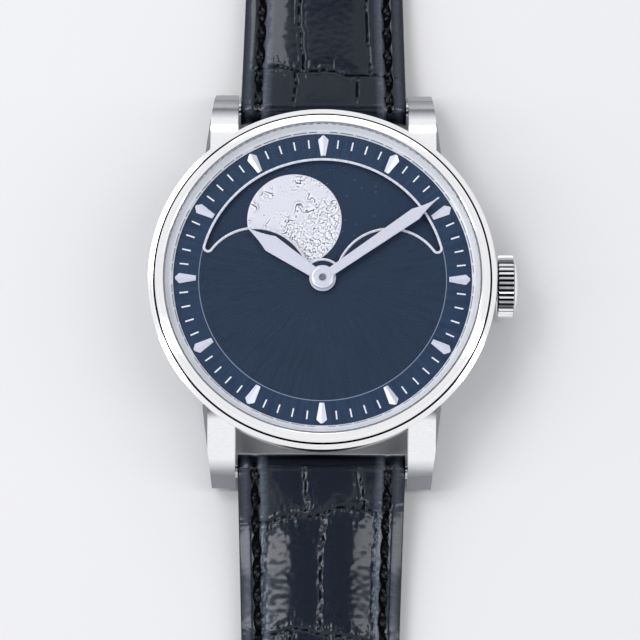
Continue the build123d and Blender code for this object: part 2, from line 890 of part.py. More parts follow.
# A hand: a tapered shaft that widens to shoulders and draws in to a needle tip.
def make_hand(label, angle, length, shoulder, shoulder_width, root_width, hub, level, bore):
    with BuildPart() as hand:
        with BuildSketch(Plane.XY.offset(level)):
            with BuildLine():
                tip = (0, length)
                left = (-shoulder_width / 2, shoulder)
                right = (shoulder_width / 2, shoulder)
                hollow_y = shoulder + (length - shoulder) * hand_hollow_share
                hollow_x = shoulder_width / 2 * hand_waist_share
                Line((-root_width / 2, 0), left)
                ThreePointArc(left, (-hollow_x, hollow_y), tip)
                ThreePointArc(tip, (hollow_x, hollow_y), right)
                Line(right, (root_width / 2, 0))
                Line((root_width / 2, 0), (-root_width / 2, 0))
            make_face()
            Circle(hub)
            Circle(bore, mode=Mode.SUBTRACT)
        extrude(amount=hand_thickness)
    hand.part = hand.part.rotate(Axis.Z, -angle)
    hand.part.label = label
    return hand


hour_level = dial_top + hour_hand_lift
minute_level = dial_top + minute_hand_lift
hour_hand = make_hand("hour_hand", hour_angle, hour_hand_length, hour_shoulder,
                      hour_shoulder_width, hour_root_width, hour_hub_radius, hour_level,
                      hour_pipe_radius)
minute_hand = make_hand("minute_hand", minute_angle, minute_hand_length, minute_shoulder,
                        minute_shoulder_width, minute_root_width, minute_hub_radius,
                        minute_level, centre_arbor_radius)

# Arbor places, each worked out from the gears that mesh there
centre = (0, 0)
minute_wheel_centre = step_from(
    centre, spacing(cannon_teeth, minute_wheel_teeth, cannon_module), minute_wheel_bearing)
moon_first_centre = step_from(
    minute_wheel_centre, spacing(moon_step_pinion_teeth, moon_first_teeth, moon_module),
    moon_first_bearing)
second_reach = spacing(moon_step_pinion_teeth, moon_second_teeth, moon_module)
second_radius = spacing(moon_pinion_teeth, moon_teeth, moon_module)
first_radius = hypot(*moon_first_centre)
first_bearing = degrees(atan2(moon_first_centre[1], moon_first_centre[0]))
second_turn = degrees(acos((first_radius**2 + second_radius**2 - second_reach**2)
                           / (2 * first_radius * second_radius)))
second_bearing = first_bearing - second_turn
moon_second_centre = polar(second_radius, second_bearing)
first_to_second = degrees(atan2(moon_second_centre[1] - moon_first_centre[1],
                                moon_second_centre[0] - moon_first_centre[0]))
barrel_centre = step_from(
    centre, spacing(barrel_teeth, centre_pinion_teeth, barrel_module), barrel_bearing)
third_centre = step_from(
    centre, spacing(centre_teeth, third_pinion_teeth, centre_module), third_bearing)
fourth_centre = step_from(
    third_centre, spacing(third_teeth, fourth_pinion_teeth, third_module), fourth_bearing)
escape_centre = step_from(
    fourth_centre, spacing(fourth_teeth, escape_pinion_teeth, fourth_module), escape_bearing)
pallet_centre = step_from(escape_centre, pallet_distance, pallet_bearing)
balance_centre = step_from(pallet_centre, balance_distance, balance_bearing)
winding_distance = spacing(ratchet_teeth, crown_wheel_teeth, winding_module)
crown_wheel_centre = (
    barrel_centre[0] + (winding_distance**2 - barrel_centre[1] ** 2) ** 0.5, 0)
crown_wheel_bearing = degrees(atan2(crown_wheel_centre[1] - barrel_centre[1],
                                    crown_wheel_centre[0] - barrel_centre[0]))
click_pivot = step_from(
    barrel_centre, pitch_radius(ratchet_teeth, winding_module) + click_reach, click_place_bearing)
click_bearing = click_place_bearing + click_lean
screw_circle = bridge_radius - movement_screw_radius - screw_edge
barrel_screw_places = [polar(screw_circle, bearing) for bearing in barrel_screw_bearings]
train_screw_places = [polar(screw_circle, bearing) for bearing in train_screw_bearings]
cock_screw_place = polar(screw_circle, cock_screw_bearing)

# Tooth bearings at rest, each gear set in mesh with the one before it
cannon_phase = 0.0
minute_wheel_phase = meshing_phase(
    cannon_phase, cannon_teeth, minute_wheel_bearing, minute_wheel_teeth)
hour_wheel_phase = meshing_phase(
    0.0, minute_pinion_teeth, minute_wheel_bearing + 180, hour_wheel_teeth)
moon_first_phase = meshing_phase(
    0.0, moon_step_pinion_teeth, moon_first_bearing, moon_first_teeth)
moon_second_phase = meshing_phase(
    0.0, moon_step_pinion_teeth, first_to_second, moon_second_teeth)
moon_wheel_phase = meshing_phase(0.0, moon_pinion_teeth, second_bearing + 180, moon_teeth)
barrel_phase = meshing_phase(0.0, centre_pinion_teeth, barrel_bearing, barrel_teeth)
third_pinion_phase = meshing_phase(0.0, centre_teeth, third_bearing, third_pinion_teeth)
fourth_pinion_phase = meshing_phase(0.0, third_teeth, fourth_bearing, fourth_pinion_teeth)
escape_pinion_phase = meshing_phase(0.0, fourth_teeth, escape_bearing, escape_pinion_teeth)
crown_wheel_phase = meshing_phase(0.0, ratchet_teeth, crown_wheel_bearing, crown_wheel_teeth)

# Centre wheel, whose arbor carries the cannon pinion and the minute hand
centre_wheel = wheel_on_arbor(
    "centre_wheel", centre,
    (centre_teeth, centre_module, 0.0, centre_level),
    (centre_pinion_teeth, barrel_module, 0.0, centre_pinion_level, centre_pinion_height),
    (bridge_outer_face + end_shake, motion_level + cannon_seat_height),
)
third_wheel = wheel_on_arbor(
    "third_wheel", third_centre,
    (third_teeth, third_module, 0.0, third_level),
    (third_pinion_teeth, centre_module, third_pinion_phase, third_pinion_level, pinion_thickness),
    (bridge_outer_face + end_shake, plate_bottom + pivot_length),
)
fourth_wheel = wheel_on_arbor(
    "fourth_wheel", fourth_centre,
    (fourth_teeth, fourth_module, 0.0, fourth_level),
    (fourth_pinion_teeth, third_module, fourth_pinion_phase, fourth_pinion_level,
     pinion_thickness),
    (bridge_outer_face + end_shake, plate_bottom + pivot_length),
)

# Escape wheel: fifteen raked teeth
with BuildPart() as escape_wheel:
    escape_root = escape_radius * escape_root_share
    escape_points = []
    for number in range(escape_teeth):
        bearing = 360 / escape_teeth * number
        escape_points.append(polar(escape_root, bearing - 360 / escape_teeth * escape_back_share))
        escape_points.append(polar(escape_radius, bearing))
        escape_points.append(polar(escape_radius, bearing + escape_land))
        escape_points.append(polar(escape_root, bearing))
    with BuildSketch(Plane.XY.offset(escape_level)):
        Polygon(*escape_points, align=None)
        with PolarLocations((wheel_hub_radius + escape_root) / 2 - escape_window_gap,
                            escape_window_count):
            Circle(escape_window_radius, mode=Mode.SUBTRACT)
    extrude(amount=wheel_thickness)
    with BuildSketch(Plane.XY.offset(escape_pinion_level)):
        Polygon(*pinion_points(escape_pinion_teeth, fourth_module, escape_pinion_phase), align=None)
    extrude(amount=pinion_thickness)
    with BuildSketch(Plane.XZ):
        Polygon(*arbor_outline(bridge_outer_face + end_shake, plate_bottom + pivot_length),
                align=None)
    revolve(axis=Axis.Z)
escape_wheel.part = escape_wheel.part.moved(Location((*escape_centre, 0)))
escape_wheel.part.label = "escape_wheel"

# Motion work under the dial
with BuildPart() as cannon_pinion:
    with BuildSketch(Plane.XY.offset(motion_level)):
        Polygon(*pinion_points(cannon_teeth, cannon_module, cannon_phase), align=None)
    extrude(amount=pinion_thickness)
    with BuildSketch(Plane.XY.offset(motion_level)):
        Circle(centre_arbor_radius)
    extrude(amount=minute_level + hand_thickness + hub_cap_height - motion_level)
    with BuildSketch(Plane.XY.offset(motion_level)):
        Circle(arbor_radius + slip_fit)
    extrude(amount=cannon_seat_height, mode=Mode.SUBTRACT)
cannon_pinion.part.label = "cannon_pinion"

with BuildPart() as minute_wheel:
    with BuildSketch(Plane.XY.offset(motion_level)):
        Polygon(*wheel_points(minute_wheel_teeth, cannon_module, minute_wheel_phase), align=None)
    extrude(amount=wheel_thickness)
    with BuildSketch(Plane.XY.offset(motion_level)):
        Polygon(*pinion_points(minute_pinion_teeth, hour_module, 0.0), align=None)
    extrude(amount=minute_pinion_height)
    with BuildSketch(Plane.XY.offset(motion_level)):
        Polygon(*pinion_points(moon_step_pinion_teeth, moon_module, 0.0), align=None)
    extrude(amount=moon_first_level + wheel_thickness + end_shake - motion_level)
    with BuildSketch(Plane.XY.offset(plate_bottom + end_shake)):
        Circle(arbor_radius)
    extrude(amount=motion_level - plate_bottom)
minute_wheel.part = minute_wheel.part.moved(Location((*minute_wheel_centre, 0)))
minute_wheel.part.label = "minute_wheel"

hour_pipe_top = hour_level + hand_thickness + hub_cap_height
with BuildPart() as hour_wheel:
    with BuildSketch(Plane.XY.offset(hour_wheel_level)):
        Polygon(*wheel_points(hour_wheel_teeth, hour_module, hour_wheel_phase), align=None)
    extrude(amount=wheel_thickness)
    with BuildSketch(Plane.XY.offset(hour_wheel_level)):
        Circle(hour_collar_radius)
    extrude(amount=moon_disc_bottom - moon_wheel_thickness - end_shake - hour_wheel_level)
    with BuildSketch(Plane.XY.offset(hour_wheel_level)):
        Circle(hour_pipe_radius)
    extrude(amount=hour_pipe_top - hour_wheel_level)
    with BuildSketch(Plane.XY.offset(hour_wheel_level)):
        Circle(centre_arbor_radius + running_gap)
    extrude(amount=hour_pipe_top - hour_wheel_level, mode=Mode.SUBTRACT)
hour_wheel.part.label = "hour_wheel"

# Moon train: two idlers that slow the minute wheel down to the moon disc
with BuildPart() as moon_first_wheel:
    with BuildSketch(Plane.XY.offset(moon_first_level)):
        Polygon(*wheel_points(moon_first_teeth, moon_module, moon_first_phase), align=None)
    extrude(amount=wheel_thickness)
    with BuildSketch(Plane.XY.offset(moon_first_level)):
        Polygon(*pinion_points(moon_step_pinion_teeth, moon_module, 0.0), align=None)
    extrude(amount=moon_second_level + wheel_thickness + end_shake - moon_first_level)
    with BuildSketch(Plane.XY.offset(plate_bottom + end_shake)):
        Circle(arbor_radius)
    extrude(amount=moon_first_level - plate_bottom)
moon_first_wheel.part = moon_first_wheel.part.moved(Location((*moon_first_centre, 0)))
moon_first_wheel.part.label = "moon_first_wheel"

with BuildPart() as moon_second_wheel:
    with BuildSketch(Plane.XY.offset(moon_second_level)):
        Polygon(*wheel_points(moon_second_teeth, moon_module, moon_second_phase), align=None)
    extrude(amount=wheel_thickness)
    with BuildSketch(Plane.XY.offset(moon_second_level)):
        Polygon(*pinion_points(moon_pinion_teeth, moon_module, 0.0), align=None)
    extrude(amount=moon_disc_bottom - end_shake - moon_second_level)
    with BuildSketch(Plane.XY.offset(plate_bottom + end_shake)):
        Circle(arbor_radius)
    extrude(amount=moon_second_level - plate_bottom)
moon_second_wheel.part = moon_second_wheel.part.moved(Location((*moon_second_centre, 0)))
moon_second_wheel.part.label = "moon_second_wheel"

with BuildPart() as moon_disc:
    with BuildSketch(Plane.XY.offset(moon_disc_bottom - moon_wheel_thickness)):
        Polygon(*wheel_points(moon_teeth, moon_module, moon_wheel_phase), align=None)
    extrude(amount=moon_wheel_thickness)
    with BuildSketch(Plane.XY.offset(moon_disc_bottom)):
        Circle(moon_disc_radius)
    extrude(amount=moon_disc_thickness)
    with BuildSketch(Plane.XY.offset(moon_disc_bottom - moon_wheel_thickness)):
        Circle(hour_pipe_radius + running_gap)
    extrude(amount=moon_wheel_thickness + moon_disc_thickness, mode=Mode.SUBTRACT)
moon_disc.part.label = "moon_disc"

# Two moons on opposite sides of the disc, each a low medal with a rounded edge
moon_level = moon_disc_bottom + moon_disc_thickness
with BuildPart() as moons:
    with BuildSketch(Plane.XY.offset(moon_level)):
        with Locations(polar(moon_orbit, 90 + moon_angle), polar(moon_orbit, 270 + moon_angle)):
            Circle(moon_radius)
    extrude(amount=moon_thickness)
    chamfer(moons.edges().filter_by(GeomType.CIRCLE).group_by(Axis.Z)[-1], moon_edge_bevel)
moons.part.label = "moons"

# Main plate: the dial-side face is sunk for the motion work, with a window for winding
with BuildPart() as main_plate:
    with BuildSketch(Plane.XY.offset(plate_bottom)):
        Circle(plate_radius)
    extrude(amount=plate_top - plate_bottom)
    with BuildSketch(Plane.XY.offset(plate_top - motion_recess_depth)):
        Circle(motion_recess_radius)
    extrude(amount=motion_recess_depth, mode=Mode.SUBTRACT)
    with BuildSketch(Plane.XY.offset(plate_bottom)):
        with Locations(minute_wheel_centre, moon_first_centre, moon_second_centre, third_centre,
                       fourth_centre, escape_centre, pallet_centre, balance_centre):
            Circle(arbor_radius + slip_fit)
        with Locations(centre, barrel_centre):
            Circle(barrel_arbor_radius + slip_fit)
        with Locations((winding_pinion_start + winding_pinion_length / 2, 0)):
            Rectangle(winding_pinion_length + 2 * winding_window_gap,
                      2 * (winding_pinion_radius + winding_window_gap))
    extrude(amount=plate_top - plate_bottom, mode=Mode.SUBTRACT)
    with BuildSketch(Plane.YZ.offset(stem_inner_end - running_gap)):
        with Locations((0, crown_axis_height)):
            Circle(stem_radius + running_gap)
    extrude(amount=plate_radius, mode=Mode.SUBTRACT)
main_plate.part.label = "main_plate"

# Spacer ring that carries the dial above the moon disc
with BuildPart() as dial_spacer_ring:
    with BuildSketch(Plane.XY.offset(plate_top)):
        Circle(plate_radius)
        Circle(spacer_inner_radius, mode=Mode.SUBTRACT)
    extrude(amount=dial_bottom - plate_top)
dial_spacer_ring.part.label = "dial_spacer_ring"

# Casing ring that centres the movement in the case
with BuildPart() as casing_ring:
    with BuildSketch(Plane.XY.offset(plate_bottom)):
        Circle(case_bore_radius - slip_fit)
        Circle(plate_radius + slip_fit, mode=Mode.SUBTRACT)
    extrude(amount=casing_ring_height)
    with BuildSketch(Plane.YZ.offset(plate_radius - overrun)):
        with Locations((0, crown_axis_height)):
            Circle(stem_radius + running_gap)
    extrude(amount=2 * overrun, mode=Mode.SUBTRACT)
casing_ring.part.label = "casing_ring"

# Bridges: flat plates cut from one disc, each with a foot along the rim
bridge_thickness = bridge_inner_face - bridge_outer_face
foot_height = plate_bottom - bridge_inner_face


# The part of the bridges' disc that lies inside a polygon given in shares of its radius.
def bridge_face(shares, inner_radius):
    with BuildSketch() as face:
        Circle(bridge_radius)
        if inner_radius:
            Circle(inner_radius, mode=Mode.SUBTRACT)
        corners = [(bridge_radius * x, bridge_radius * y) for x, y in shares]
        Polygon(*corners, align=None, mode=Mode.INTERSECT)
    return face.sketch


barrel_bridge_shares = [
    (1.05, -0.2), (0.3, -0.2), (0.12, 0.12), (-0.2, 0.16), (-0.36, 0.4), (-0.4, 1.05),
    (1.05, 1.05),
]
train_bridge_shares = [
    (-0.42, 1.05), (-0.38, 0.38), (-0.22, 0.12), (0.07, 0.08), (0.09, -0.08), (-0.04, -0.26),
    (-0.02, -0.58), (-0.16, -1.05), (-1.05, -1.05), (-1.05, 1.05),
]
balance_cock_shares = [
    (0.24, -0.4), (0.38, -0.4), (0.66, -0.7), (0.66, -1.05), (0.2, -1.05), (0.2, -0.8),
]

with BuildPart() as barrel_bridge:
    extrude(Plane.XY.offset(bridge_outer_face) * bridge_face(barrel_bridge_shares, 0),
            amount=bridge_thickness)
    chamfer(barrel_bridge.faces().sort_by(Axis.Z)[0].edges(), bridge_bevel)
    extrude(Plane.XY.offset(bridge_inner_face)
            * bridge_face(barrel_bridge_shares, bridge_foot_inner), amount=foot_height)
    # Sink for the ratchet wheel, the crown wheel and the click
    with BuildSketch(Plane.XY.offset(bridge_outer_face)):
        with Locations(barrel_centre):
            Circle(pitch_radius(ratchet_teeth, winding_module) + winding_sink)
        with Locations(crown_wheel_centre):
            Circle(pitch_radius(crown_wheel_teeth, winding_module) + winding_sink)
        with Locations(Location((*click_pivot, 0), (0, 0, click_bearing))):
            SlotOverall(2 * click_length, 2 * click_width)
    extrude(amount=winding_sink, mode=Mode.SUBTRACT)
    with BuildSketch(Plane.XY.offset(bridge_outer_face)):
        with Locations(crown_wheel_centre):
            Circle(crown_wheel_hub_radius + running_gap)
        with Locations(barrel_centre):
            Circle(barrel_arbor_radius + slip_fit)
        with Locations(click_pivot):
            Circle(click_pin_radius + slip_fit)
        with Locations(*barrel_screw_places):
            Circle(movement_screw_shank + slip_fit)
    extrude(amount=bridge_thickness, mode=Mode.SUBTRACT)
    with BuildSketch(Plane.XY.offset(bridge_outer_face)):
        with Locations(*barrel_screw_places):
            Circle(movement_screw_radius + slip_fit)
    extrude(amount=movement_screw_head, mode=Mode.SUBTRACT)
    with BuildSketch(Plane.XY.offset(bridge_inner_face)):
        with Locations((bridge_radius, 0)):
            Rectangle(2 * (bridge_radius - bridge_foot_inner) + overrun, 2 * stem_room)
        with Locations(*barrel_screw_places):
            Circle(movement_screw_shank + slip_fit)
    extrude(amount=foot_height, mode=Mode.SUBTRACT)
barrel_bridge.part.label = "barrel_bridge"

train_jewel_places = [centre, third_centre, fourth_centre, escape_centre]
with BuildPart() as train_bridge:
    extrude(Plane.XY.offset(bridge_outer_face) * bridge_face(train_bridge_shares, 0),
            amount=bridge_thickness)
    chamfer(train_bridge.faces().sort_by(Axis.Z)[0].edges(), bridge_bevel)
    extrude(Plane.XY.offset(bridge_inner_face)
            * bridge_face(train_bridge_shares, bridge_foot_inner), amount=foot_height)
    with BuildSketch(Plane.XY.offset(bridge_outer_face)):
        with Locations(*train_jewel_places):
            Circle(jewel_radius)
    extrude(amount=jewel_thickness, mode=Mode.SUBTRACT)
    with BuildSketch(Plane.XY.offset(bridge_outer_face)):
        with Locations(*train_jewel_places):
            Circle(arbor_radius + running_gap)
        with Locations(*train_screw_places):
            Circle(movement_screw_shank + slip_fit)
    extrude(amount=bridge_thickness + foot_height, mode=Mode.SUBTRACT)
    with BuildSketch(Plane.XY.offset(bridge_outer_face)):
        with Locations(*train_screw_places):
            Circle(movement_screw_radius + slip_fit)
    extrude(amount=movement_screw_head, mode=Mode.SUBTRACT)
train_bridge.part.label = "train_bridge"

with BuildPart() as balance_cock:
    extrude(Plane.XY.offset(bridge_outer_face) * bridge_face(balance_cock_shares, 0),
            amount=cock_thickness)
    with BuildSketch(Plane.XY.offset(bridge_outer_face)):
        with Locations(balance_centre):
            Circle(cock_head_radius)
    extrude(amount=cock_thickness)
    chamfer(balance_cock.faces().sort_by(Axis.Z)[0].edges(), bridge_bevel)
    extrude(Plane.XY.offset(bridge_outer_face)
            * bridge_face(balance_cock_shares, cock_foot_inner),
            amount=plate_bottom - bridge_outer_face)
    with BuildSketch(Plane.XY.offset(bridge_outer_face)):
        with Locations(balance_centre):
            Circle(jewel_radius)
    extrude(amount=jewel_thickness, mode=Mode.SUBTRACT)
    with BuildSketch(Plane.XY.offset(bridge_outer_face)):
        with Locations(balance_centre):
            Circle(arbor_radius + running_gap)
        with Locations(cock_screw_place):
            Circle(movement_screw_shank + slip_fit)
    extrude(amount=plate_bottom - bridge_outer_face, mode=Mode.SUBTRACT)
    with BuildSketch(Plane.XY.offset(bridge_outer_face)):
        with Locations(cock_screw_place):
            Circle(movement_screw_radius + slip_fit)
    extrude(amount=movement_screw_head, mode=Mode.SUBTRACT)
balance_cock.part.label = "balance_cock"

# Pallet bridge: two arms that meet over the fork, each on its own foot
pallet_feet = [step_from(pallet_centre, pallet_foot_reach, balance_bearing + side)
               for side in (-pallet_foot_spread, pallet_foot_spread)]
with BuildPart() as pallet_bridge:
    with BuildSketch(Plane.XY.offset(pallet_bridge_level)):
        for foot_place in pallet_feet:
            Polygon(*bar_points(pallet_centre, foot_place, 2 * pallet_foot_radius), align=None)
        with Locations(pallet_centre, *pallet_feet):
            Circle(pallet_foot_radius)
        with Locations(pallet_centre):
            Circle(arbor_radius + running_gap, mode=Mode.SUBTRACT)
    extrude(amount=pallet_bridge_thickness)
    with BuildSketch(Plane.XY.offset(pallet_bridge_level)):
        with Locations(*pallet_feet):
            Circle(pallet_foot_radius)
    extrude(amount=plate_bottom - pallet_bridge_level)
pallet_bridge.part.label = "pallet_bridge"

# Jewels: a ring in each bridge hole
with BuildPart() as bridge_jewels:
    with BuildSketch(Plane.XY.offset(bridge_outer_face)):
        with Locations(*train_jewel_places, balance_centre):
            Circle(jewel_radius)
            Circle(pivot_radius + slip_fit, mode=Mode.SUBTRACT)
    extrude(amount=jewel_thickness)
bridge_jewels.part.label = "bridge_jewels"

# Screws of the bridges and the cock
screw_places = [*barrel_screw_places, *train_screw_places, cock_screw_place]
with BuildPart() as bridge_screws:
    with BuildSketch(Plane.XY.offset(bridge_outer_face)):
        with Locations(*screw_places):
            Circle(movement_screw_radius)
    extrude(amount=movement_screw_head)
    with BuildSketch(Plane.XY.offset(bridge_outer_face)):
        with Locations(*screw_places):
            Circle(movement_screw_shank)
    extrude(amount=movement_screw_length)
    with BuildSketch(Plane.XY.offset(bridge_outer_face)):
        with Locations(*screw_places):
            Rectangle(2 * movement_screw_radius + slip_fit, movement_screw_slot)
    extrude(amount=movement_screw_slot, mode=Mode.SUBTRACT)
bridge_screws.part.label = "bridge_screws"

# Mainspring barrel: a toothed drum with its lid, arbor and mainspring
barrel_top = barrel_bottom + barrel_height
with BuildPart() as barrel:
    with BuildSketch(Plane.XY.offset(barrel_top - barrel_flange)):
        Polygon(*wheel_points(barrel_teeth, barrel_module, barrel_phase), align=None)
    extrude(amount=barrel_flange)
    with BuildSketch(Plane.XY.offset(barrel_bottom)):
        Circle(barrel_drum_radius)
    extrude(amount=barrel_height - barrel_flange)
    with BuildSketch(Plane.XY.offset(barrel_bottom)):
        Circle(barrel_drum_radius - barrel_wall)
    extrude(amount=barrel_height - barrel_wall, mode=Mode.SUBTRACT)
    with BuildSketch(Plane.XY.offset(barrel_bottom)):
        Circle(barrel_arbor_radius + slip_fit)
    extrude(amount=barrel_height, mode=Mode.SUBTRACT)
barrel.part = barrel.part.moved(Location((*barrel_centre, 0)))
barrel.part.label = "barrel"

with BuildPart() as barrel_lid:
    with BuildSketch(Plane.XY.offset(barrel_bottom)):
        with Locations(barrel_centre):
            Circle(barrel_drum_radius - barrel_wall)
            Circle(barrel_arbor_radius + slip_fit, mode=Mode.SUBTRACT)
    extrude(amount=barrel_wall)
barrel_lid.part.label = "barrel_lid"

with BuildPart() as barrel_arbor:
    with BuildSketch(Plane.XY.offset(bridge_outer_face + end_shake + winding_wheel_thickness)):
        with Locations(barrel_centre):
            Circle(barrel_arbor_radius)
    extrude(amount=barrel_top + end_shake - bridge_outer_face)
barrel_arbor.part.label = "barrel_arbor"


# A flat spiral strip drawn with half circles, from the inner radius outwards.
def spiral_face(inner, outer, turns, width):
    step = (outer - inner) / (2 * turns)
    with BuildSketch() as face:
        with BuildLine():
            for grow in (-width / 2, width / 2):
                for number in range(2 * turns):
                    side = 1 - 2 * (number % 2)
                    start = inner + grow + number * step
                    stop = start + step
                    ThreePointArc(
                        (side * start, 0),
                        (-side * step / 2, side * (start + stop) / 2),
                        (-side * stop, 0),
                    )
            Line((inner - width / 2, 0), (inner + width / 2, 0))
            Line((outer - width / 2, 0), (outer + width / 2, 0))
        make_face()
    return face.sketch


with BuildPart() as mainspring:
    extrude(Plane.XY.offset(barrel_bottom + barrel_wall + running_gap)
            * spiral_face(mainspring_inner, barrel_drum_radius - barrel_wall - mainspring_width,
                          mainspring_turns, mainspring_width),
            amount=barrel_height - 2 * barrel_wall - 2 * running_gap)
mainspring.part = mainspring.part.moved(Location((*barrel_centre, 0)))
mainspring.part.label = "mainspring"

with BuildPart() as ratchet_wheel:
    with BuildSketch(Plane.XY.offset(bridge_outer_face + end_shake)):
        Polygon(*wheel_points(ratchet_teeth, winding_module, 0.0), align=None)
        with PolarLocations(pitch_radius(ratchet_teeth, winding_module) / 2, spoke_count):
            Circle(ratchet_hole_radius, mode=Mode.SUBTRACT)
    extrude(amount=winding_wheel_thickness)
    with BuildSketch(Plane.XY.offset(bridge_outer_face + end_shake - ratchet_screw_height)):
        Circle(2 * barrel_arbor_radius)
        Rectangle(4 * barrel_arbor_radius, movement_screw_slot, mode=Mode.SUBTRACT)
    extrude(amount=ratchet_screw_height)
ratchet_wheel.part = ratchet_wheel.part.moved(Location((*barrel_centre, 0)))
ratchet_wheel.part.label = "ratchet_wheel"

# Crown wheel: a flat wheel whose hub reaches through the bridge to the winding pinion
with BuildPart() as crown_wheel:
    with BuildSketch(Plane.XY.offset(bridge_outer_face + end_shake)):
        Polygon(*wheel_points(crown_wheel_teeth, winding_module, crown_wheel_phase), align=None)
    extrude(amount=winding_wheel_thickness)
    with BuildSketch(Plane.XY.offset(bridge_outer_face + end_shake)):
        Circle(crown_wheel_hub_radius)
    extrude(amount=crown_axis_height - winding_pinion_radius - bridge_outer_face - 2 * end_shake)
    with BuildSketch(Plane.XY.offset(bridge_outer_face + end_shake)):
        Circle(movement_screw_radius)
        Rectangle(2 * movement_screw_radius, movement_screw_slot, mode=Mode.SUBTRACT)
    extrude(amount=-ratchet_screw_height)
crown_wheel.part = crown_wheel.part.moved(Location((*crown_wheel_centre, 0)))
crown_wheel.part.label = "crown_wheel"

# Click: a pointed lever that lets the ratchet wheel turn one way only
with BuildPart() as click:
    with BuildSketch(Plane.XY.offset(bridge_outer_face + end_shake)):
        Circle(click_width / 2)
        Polygon(
            (0, click_width / 2),
            (0, -click_width / 2),
            (click_length - click_width / 2, -click_width / 2),
            (click_length - click_width, click_width / 4),
            align=None,
        )
    extrude(amount=winding_wheel_thickness)
    with BuildSketch(Plane.XY.offset(bridge_outer_face + end_shake)):
        Circle(click_pin_radius)
    extrude(amount=bridge_thickness - 2 * end_shake)
click.part = click.part.moved(Location((*click_pivot, 0), (0, 0, click_bearing)))
click.part.label = "click"

# Winding pinion on the stem, with leaves along the stem's axis
with BuildPart() as winding_pinion:
    with BuildSketch(Plane.YZ.offset(winding_pinion_start)):
        with Locations((0, crown_axis_height)):
            Polygon(
                *pinion_points(winding_pinion_teeth, winding_pinion_module, 0.0), align=None)
            Rectangle(stem_square + slip_fit, stem_square + slip_fit, mode=Mode.SUBTRACT)
    extrude(amount=winding_pinion_length)
winding_pinion.part.label = "winding_pinion"

with BuildPart() as winding_stem:
    with BuildSketch(Plane.YZ.offset(stem_inner_end)):
        with Locations((0, crown_axis_height)):
            Rectangle(stem_square, stem_square)
    extrude(amount=winding_pinion_start + winding_pinion_length + stem_shoulder - stem_inner_end)
    with BuildSketch(Plane.YZ.offset(winding_pinion_start + winding_pinion_length
                                     + stem_shoulder)):
        with Locations((0, crown_axis_height)):
            Circle(stem_radius)
    extrude(amount=crown_start + crown_length - crown_cap_length - winding_pinion_start
            - winding_pinion_length - stem_shoulder - crown_face)
winding_stem.part.label = "winding_stem"

with BuildPart() as crown_tube:
    with BuildSketch(Plane.YZ.offset(tube_inner_end)):
        with Locations((0, crown_axis_height)):
            Circle(tube_radius)
            Circle(tube_bore, mode=Mode.SUBTRACT)
    extrude(amount=tube_outer_end - tube_inner_end)
crown_tube.part.label = "crown_tube"

# Crown: a fluted knob with a domed bare cap, hollow behind for the tube
with BuildPart() as crown:
    with BuildSketch(Plane.XZ):
        with BuildLine():
            outer_end = crown_start + crown_length
            Polyline(
                (crown_start, 0),
                (crown_start, crown_radius - crown_round),
                (crown_start + crown_round / 2, crown_radius),
                (outer_end - crown_cap_length - crown_round / 2, crown_radius),
                (outer_end - crown_cap_length, crown_radius - crown_round),
            )
            cap_radius = crown_radius - crown_round
            ThreePointArc(
                (outer_end - crown_cap_length, cap_radius),
                (outer_end - dome_drop(cap_radius, crown_cap_length, cap_radius / 2),
                 cap_radius / 2),
                (outer_end, 0),
            )
            Line((outer_end, 0), (crown_start, 0))
        make_face()
    revolve(axis=Axis.X)
    with BuildSketch(Plane.YZ.offset(crown_start)):
        with PolarLocations(crown_radius, crown_flutes):
            Rectangle(2 * crown_flute_half, 2 * crown_flute_half, rotation=crown_flute_turn)
    extrude(amount=crown_length - crown_cap_length, mode=Mode.SUBTRACT)
    with BuildSketch(Plane.YZ.offset(crown_start)):
        Circle(crown_bore_radius)
    extrude(amount=crown_bore_depth, mode=Mode.SUBTRACT)
    with BuildSketch(Plane.YZ.offset(crown_start)):
        Circle(stem_radius)
    extrude(amount=crown_length - crown_cap_length - crown_face, mode=Mode.SUBTRACT)
crown.part = crown.part.moved(Location((0, 0, crown_axis_height)))
crown.part.label = "crown"

with BuildPart() as crown_gasket:
    with BuildSketch(Plane.YZ.offset(tube_outer_end - gasket_section)):
        with Locations((0, crown_axis_height)):
            Circle(tube_bore)
            Circle(stem_radius + slip_fit, mode=Mode.SUBTRACT)
    extrude(amount=gasket_section)
crown_gasket.part.label = "crown_gasket"

